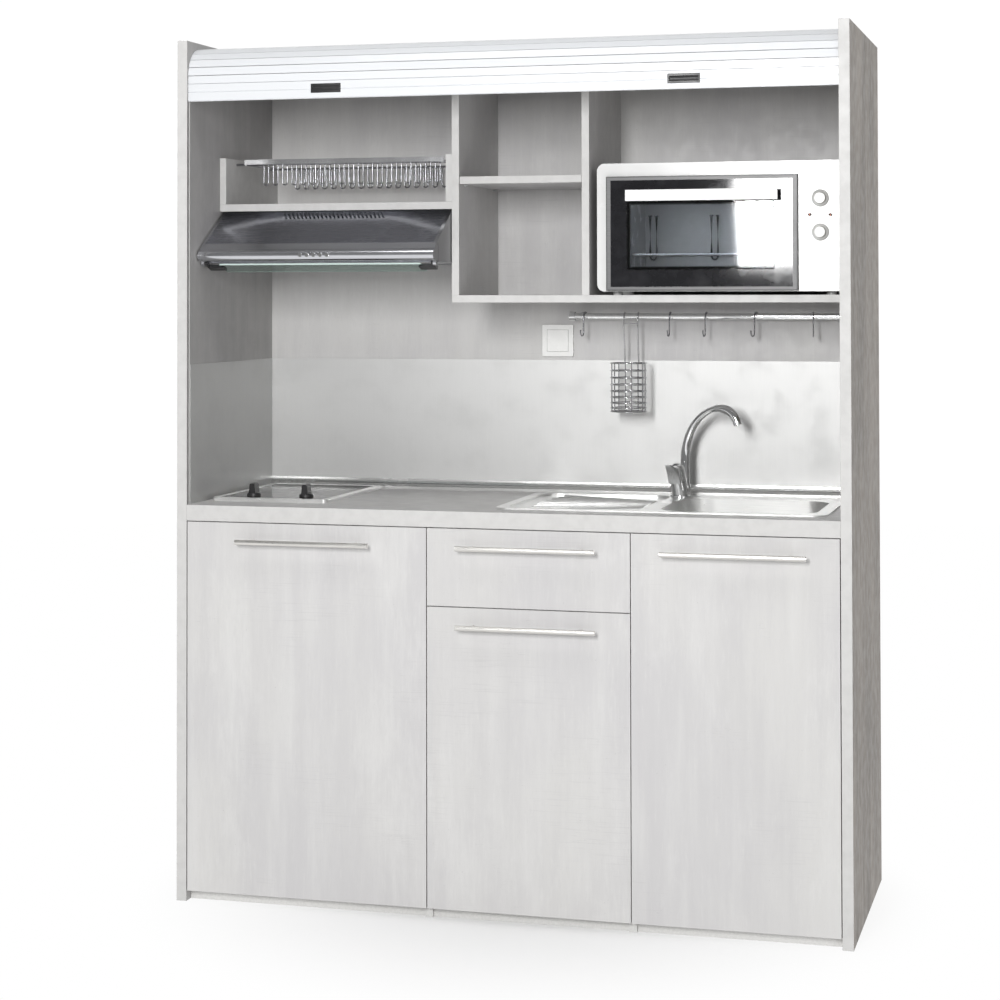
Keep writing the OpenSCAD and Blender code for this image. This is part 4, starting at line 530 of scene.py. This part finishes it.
def soften(o, bevel):
    """Smooth curved faces and rounded arrises, by modifiers alone."""
    for p in o.data.polygons:
        p.use_smooth = True
    weld = o.modifiers.new("weld", "WELD")
    weld.merge_threshold = 2e-6
    if bevel:
        flat = o.modifiers.new("flat", "DECIMATE")
        flat.decimate_type = "DISSOLVE"
        flat.angle_limit = math.radians(0.3)
        b = o.modifiers.new("bevel", "BEVEL")
        b.width = bevel / 1000
        b.segments = 2
        b.limit_method = "ANGLE"
        b.angle_limit = math.radians(38)
        b.use_clamp_overlap = True
    else:
        split = o.modifiers.new("split", "EDGE_SPLIT")
        split.split_angle = math.radians(38)
    n = o.modifiers.new("normals", "WEIGHTED_NORMAL")
    n.keep_sharp = True
    n.weight = 60


for name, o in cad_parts.items():
    key, bevel = looks[name]
    o.data.materials.clear()
    o.data.materials.append(made[key])
    soften(o, bevel)


# Pieces that the rigid nodes lack

def piece(name, bm, key, body):
    """A mesh object from bm with one of the materials, riding on a body."""
    mesh = bpy.data.meshes.new(name)
    bmesh.ops.recalc_face_normals(bm, faces=bm.faces)
    bm.to_mesh(mesh)
    bm.free()
    o = bpy.data.objects.new(name, mesh)
    bpy.context.scene.collection.objects.link(o)
    o.data.materials.append(made[key])
    if body:
        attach(o, body)
    return o


def lathe(bm, outline, place, aim="-Y", steps=40):
    """Turn an outline of (radius, height) points about an axis at place."""
    turn = Vector((0, 0, 1)).rotation_difference(
        {"-Y": Vector((0, -1, 0)), "Z": Vector((0, 0, 1))}[aim])
    rings = []
    for r, h in outline:
        ring = []
        for i in range(steps):
            a = 2 * math.pi * i / steps
            p = turn @ Vector((r * math.cos(a), r * math.sin(a), h))
            ring.append(bm.verts.new(p / 1000 + place))
        rings.append(ring)
    for a, b in zip(rings, rings[1:]):
        for i in range(steps):
            k = (i + 1) % steps
            bm.faces.new((a[i], a[k], b[k], b[i]))
    bm.faces.new(rings[-1])
    bm.faces.new(rings[0][::-1])


def tube(bm, points, radius, steps=14):
    """A round bar along points, with closed ends."""
    rings, up = [], Vector((0, 1, 0))
    for i, p in enumerate(points):
        a, b = points[max(i - 1, 0)], points[min(i + 1, len(points) - 1)]
        along = (b - a).normalized()
        side = along.cross(up)
        if side.length < 0.2:
            side = along.cross(Vector((1, 0, 0)))
        side.normalize()
        other = along.cross(side).normalized()
        up = other
        rings.append([bm.verts.new(p + radius * (
            math.cos(2 * math.pi * k / steps) * side
            + math.sin(2 * math.pi * k / steps) * other))
            for k in range(steps)])
    for a, b in zip(rings, rings[1:]):
        for i in range(steps):
            k = (i + 1) % steps
            bm.faces.new((a[i], a[k], b[k], b[i]))
    bm.faces.new(rings[-1])
    bm.faces.new(rings[0][::-1])


def smooth(o):
    for p in o.data.polygons:
        p.use_smooth = True
    split = o.modifiers.new("split", "EDGE_SPLIT")
    split.split_angle = math.radians(35)
    return o


# The slats that unroll behind the first one. At rest they are folded up in
# the height of one slat, each row where it spreads to an even pitch.
SHEET_TOP, FOLDED, TRAVEL, SLATS = 1974.6, 18.9, 965.5, 50
GUIDES = (19.5, 1590.5)
SHEET_BACK = 15.9


def folded_at(share):
    """How far down the folded sheet, 0 to 1, the row lies that comes to
    this share of the open sheet."""
    low, high = 0.0, 1.0
    for _ in range(40):
        t = (low + high) / 2
        w = t * t * (3 - 2 * t)
        if t * FOLDED + w * TRAVEL < share * (FOLDED + TRAVEL):
            low = t
        else:
            high = t
    return (low + high) / 2


def shutter_sheet():
    """Slats with tapered joints, in place of the rigid curtain."""
    bm = bmesh.new()
    rows = []
    pitch = 1 / SLATS
    for k in range(SLATS):
        for part, y in ((0.0, 14.9), (0.03, 14.25), (0.10, 14.02),
                        (0.5, 14.0), (0.90, 14.02), (0.97, 14.25)):
            rows.append(((k + part) * pitch, y))
    rows.append((1.0, 14.9))
    across = [GUIDES[0] + i * (GUIDES[1] - GUIDES[0]) / 6
              for i in range(7)]
    front, back = [], []
    for share, y in rows:
        z = SHEET_TOP - FOLDED * folded_at(share)
        front.append([bm.verts.new(at(x, y, z)) for x in across])
        back.append([bm.verts.new(at(x, SHEET_BACK, z)) for x in across])
    for a, b, c, d in zip(front, front[1:], back, back[1:]):
        for i in range(len(across) - 1):
            bm.faces.new((a[i], a[i + 1], b[i + 1], b[i]))
            bm.faces.new((c[i + 1], c[i], d[i], d[i + 1]))
        bm.faces.new((a[0], b[0], d[0], c[0]))
        bm.faces.new((b[-1], a[-1], c[-1], d[-1]))
    for f, b in ((front[0], back[0]), (front[-1][::-1], back[-1][::-1])):
        for i in range(len(across) - 1):
            bm.faces.new((f[i + 1], f[i], b[i], b[i + 1]))
    o = piece("shutter_sheet", bm, "slat", None)
    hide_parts("shutter_curtain")
    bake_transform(o)


shutter_sheet()


def oven_details():
    """Small pieces of the oven, all on the cabinet."""
    # two lamps in collars, and thin grey rings round the knobs: painted shadow
    # at the knobs' edges
    bm = bmesh.new()
    for x, z in LAMPS:
        lathe(bm, [(4.6, 0), (4.6, 0.9), (3.9, 1.3), (3.3, 1.1)],
              at(x, OVEN_Y, z))
    smooth(piece("oven_lamp_collars", bm, "chrome", "cabinet"))
    bm = bmesh.new()
    for x, z in LAMPS:
        lathe(bm, [(3.2, 0.2), (3.1, 1.4), (2.4, 2.1), (1.2, 2.5),
                   (0.3, 2.6)], at(x, OVEN_Y, z))
    smooth(piece("oven_lamp_lenses", bm, "lens", "cabinet"))
    # grey rings round the knobs: painted shadow of their edges
    bm = bmesh.new()
    for z in KNOB_ZS:
        lathe(bm, [(20.4, 0), (20.4, 0.5), (19.9, 0.8), (18.9, 0.8),
                   (18.5, 0.5)], at(KNOB_X, OVEN_Y - 0.1, z), steps=60)
    smooth(piece("oven_knob_shadow_rings", bm, "print", "cabinet"))
    # the upright loops of the heating rods at the oven's back
    bm = bmesh.new()
    back, wide, top, low = 478, 8, 1640, 1540
    for x in (1070, 1224):
        bend = [(x + wide * math.cos(a), low - wide * math.sin(a))
                for a in (math.pi * i / 12 for i in range(13))]
        line = [(x + wide, top)] + bend + [(x - wide, top)]
        tube(bm, [at(u, back, w) for u, w in line], 0.0034)
        for side in (-1, 1):
            lathe(bm, [(5.5, 0), (5.5, 2), (4.5, 3)],
                  at(x + side * wide, back, top), "Z", 20)
    smooth(piece("oven_rod_loops", bm, "wire", "cabinet"))


oven_details()


# Studio

def stage_floor():
    mesh = bpy.data.meshes.new("studio_floor")
    bm = bmesh.new()
    bmesh.ops.create_circle(bm, cap_ends=True, radius=9, segments=96)
    bm.to_mesh(mesh)
    bm.free()
    o = bpy.data.objects.new("studio_floor", mesh)
    o.location = (0, 0, -0.0005)
    bpy.context.scene.collection.objects.link(o)
    f = Finish("studio_floor", Roughness=0.9, Specular_IOR_Level=0.1)
    f.out((0.93, 0.93, 0.93, 1))
    far = f.node("VectorMath", {"operation": "LENGTH"},
                 Vector=f.place.outputs["Object"]).outputs["Value"]
    glow = f.node("Emission", Color=(1, 1, 1, 1), Strength=1.0)
    both = f.node("MixShader")
    f.feed(both.inputs[0], f.curve(far, 0.0, 1.0))
    f.feed(both.inputs[1], f.shader.outputs[0])
    f.feed(both.inputs[2], glow.outputs[0])
    f.feed(f.tree.nodes["Material Output"].inputs[0], both.outputs[0])
    o.data.materials.append(f.material)


stage_floor()


def area_light(name, place, aim, size, power):
    data = bpy.data.lights.new(name, "AREA")
    data.shape = "RECTANGLE"
    data.size, data.size_y = size
    data.energy = power
    o = bpy.data.objects.new(name, data)
    o.location = place
    o.rotation_euler = (Vector(aim) - Vector(place)).to_track_quat(
        "-Z", "Y").to_euler()
    bpy.context.scene.collection.objects.link(o)


area_light("key", (0.05, -4.9, 2.25), (0, 0, 1.1), (0.66, 1.4), 146)
area_light("fill", (3.2, -3.4, 1.9), (0.4, 0, 1.1), (1.2, 2.2), 14)
area_light("top", (-0.2, -1.7, 4.2), (0, 0, 0.9), (2.0, 1.0), 30)

world = bpy.data.worlds.new("studio")
world.use_nodes = True
bpy.context.scene.world = world
tree = world.node_tree
tree.nodes.clear()
sky = tree.nodes.new("ShaderNodeBackground")
end = tree.nodes.new("ShaderNodeOutputWorld")
place = tree.nodes.new("ShaderNodeTexCoord")
split = tree.nodes.new("ShaderNodeSeparateXYZ")
ramp = tree.nodes.new("ShaderNodeMapRange")
ramp.interpolation_type = "SMOOTHSTEP"
tree.links.new(place.outputs["Generated"], split.inputs[0])
tree.links.new(split.outputs["Y"], ramp.inputs["Value"])
for key, value in (("From Min", 0.1), ("From Max", 0.8),
                   ("To Min", 0.20), ("To Max", 1.02)):
    ramp.inputs[key].default_value = value
tree.links.new(ramp.outputs[0], sky.inputs["Strength"])
sky.inputs["Color"].default_value = (1, 1, 1, 1)
tree.links.new(sky.outputs[0], end.inputs[0])

bpy.context.view_layer.update()
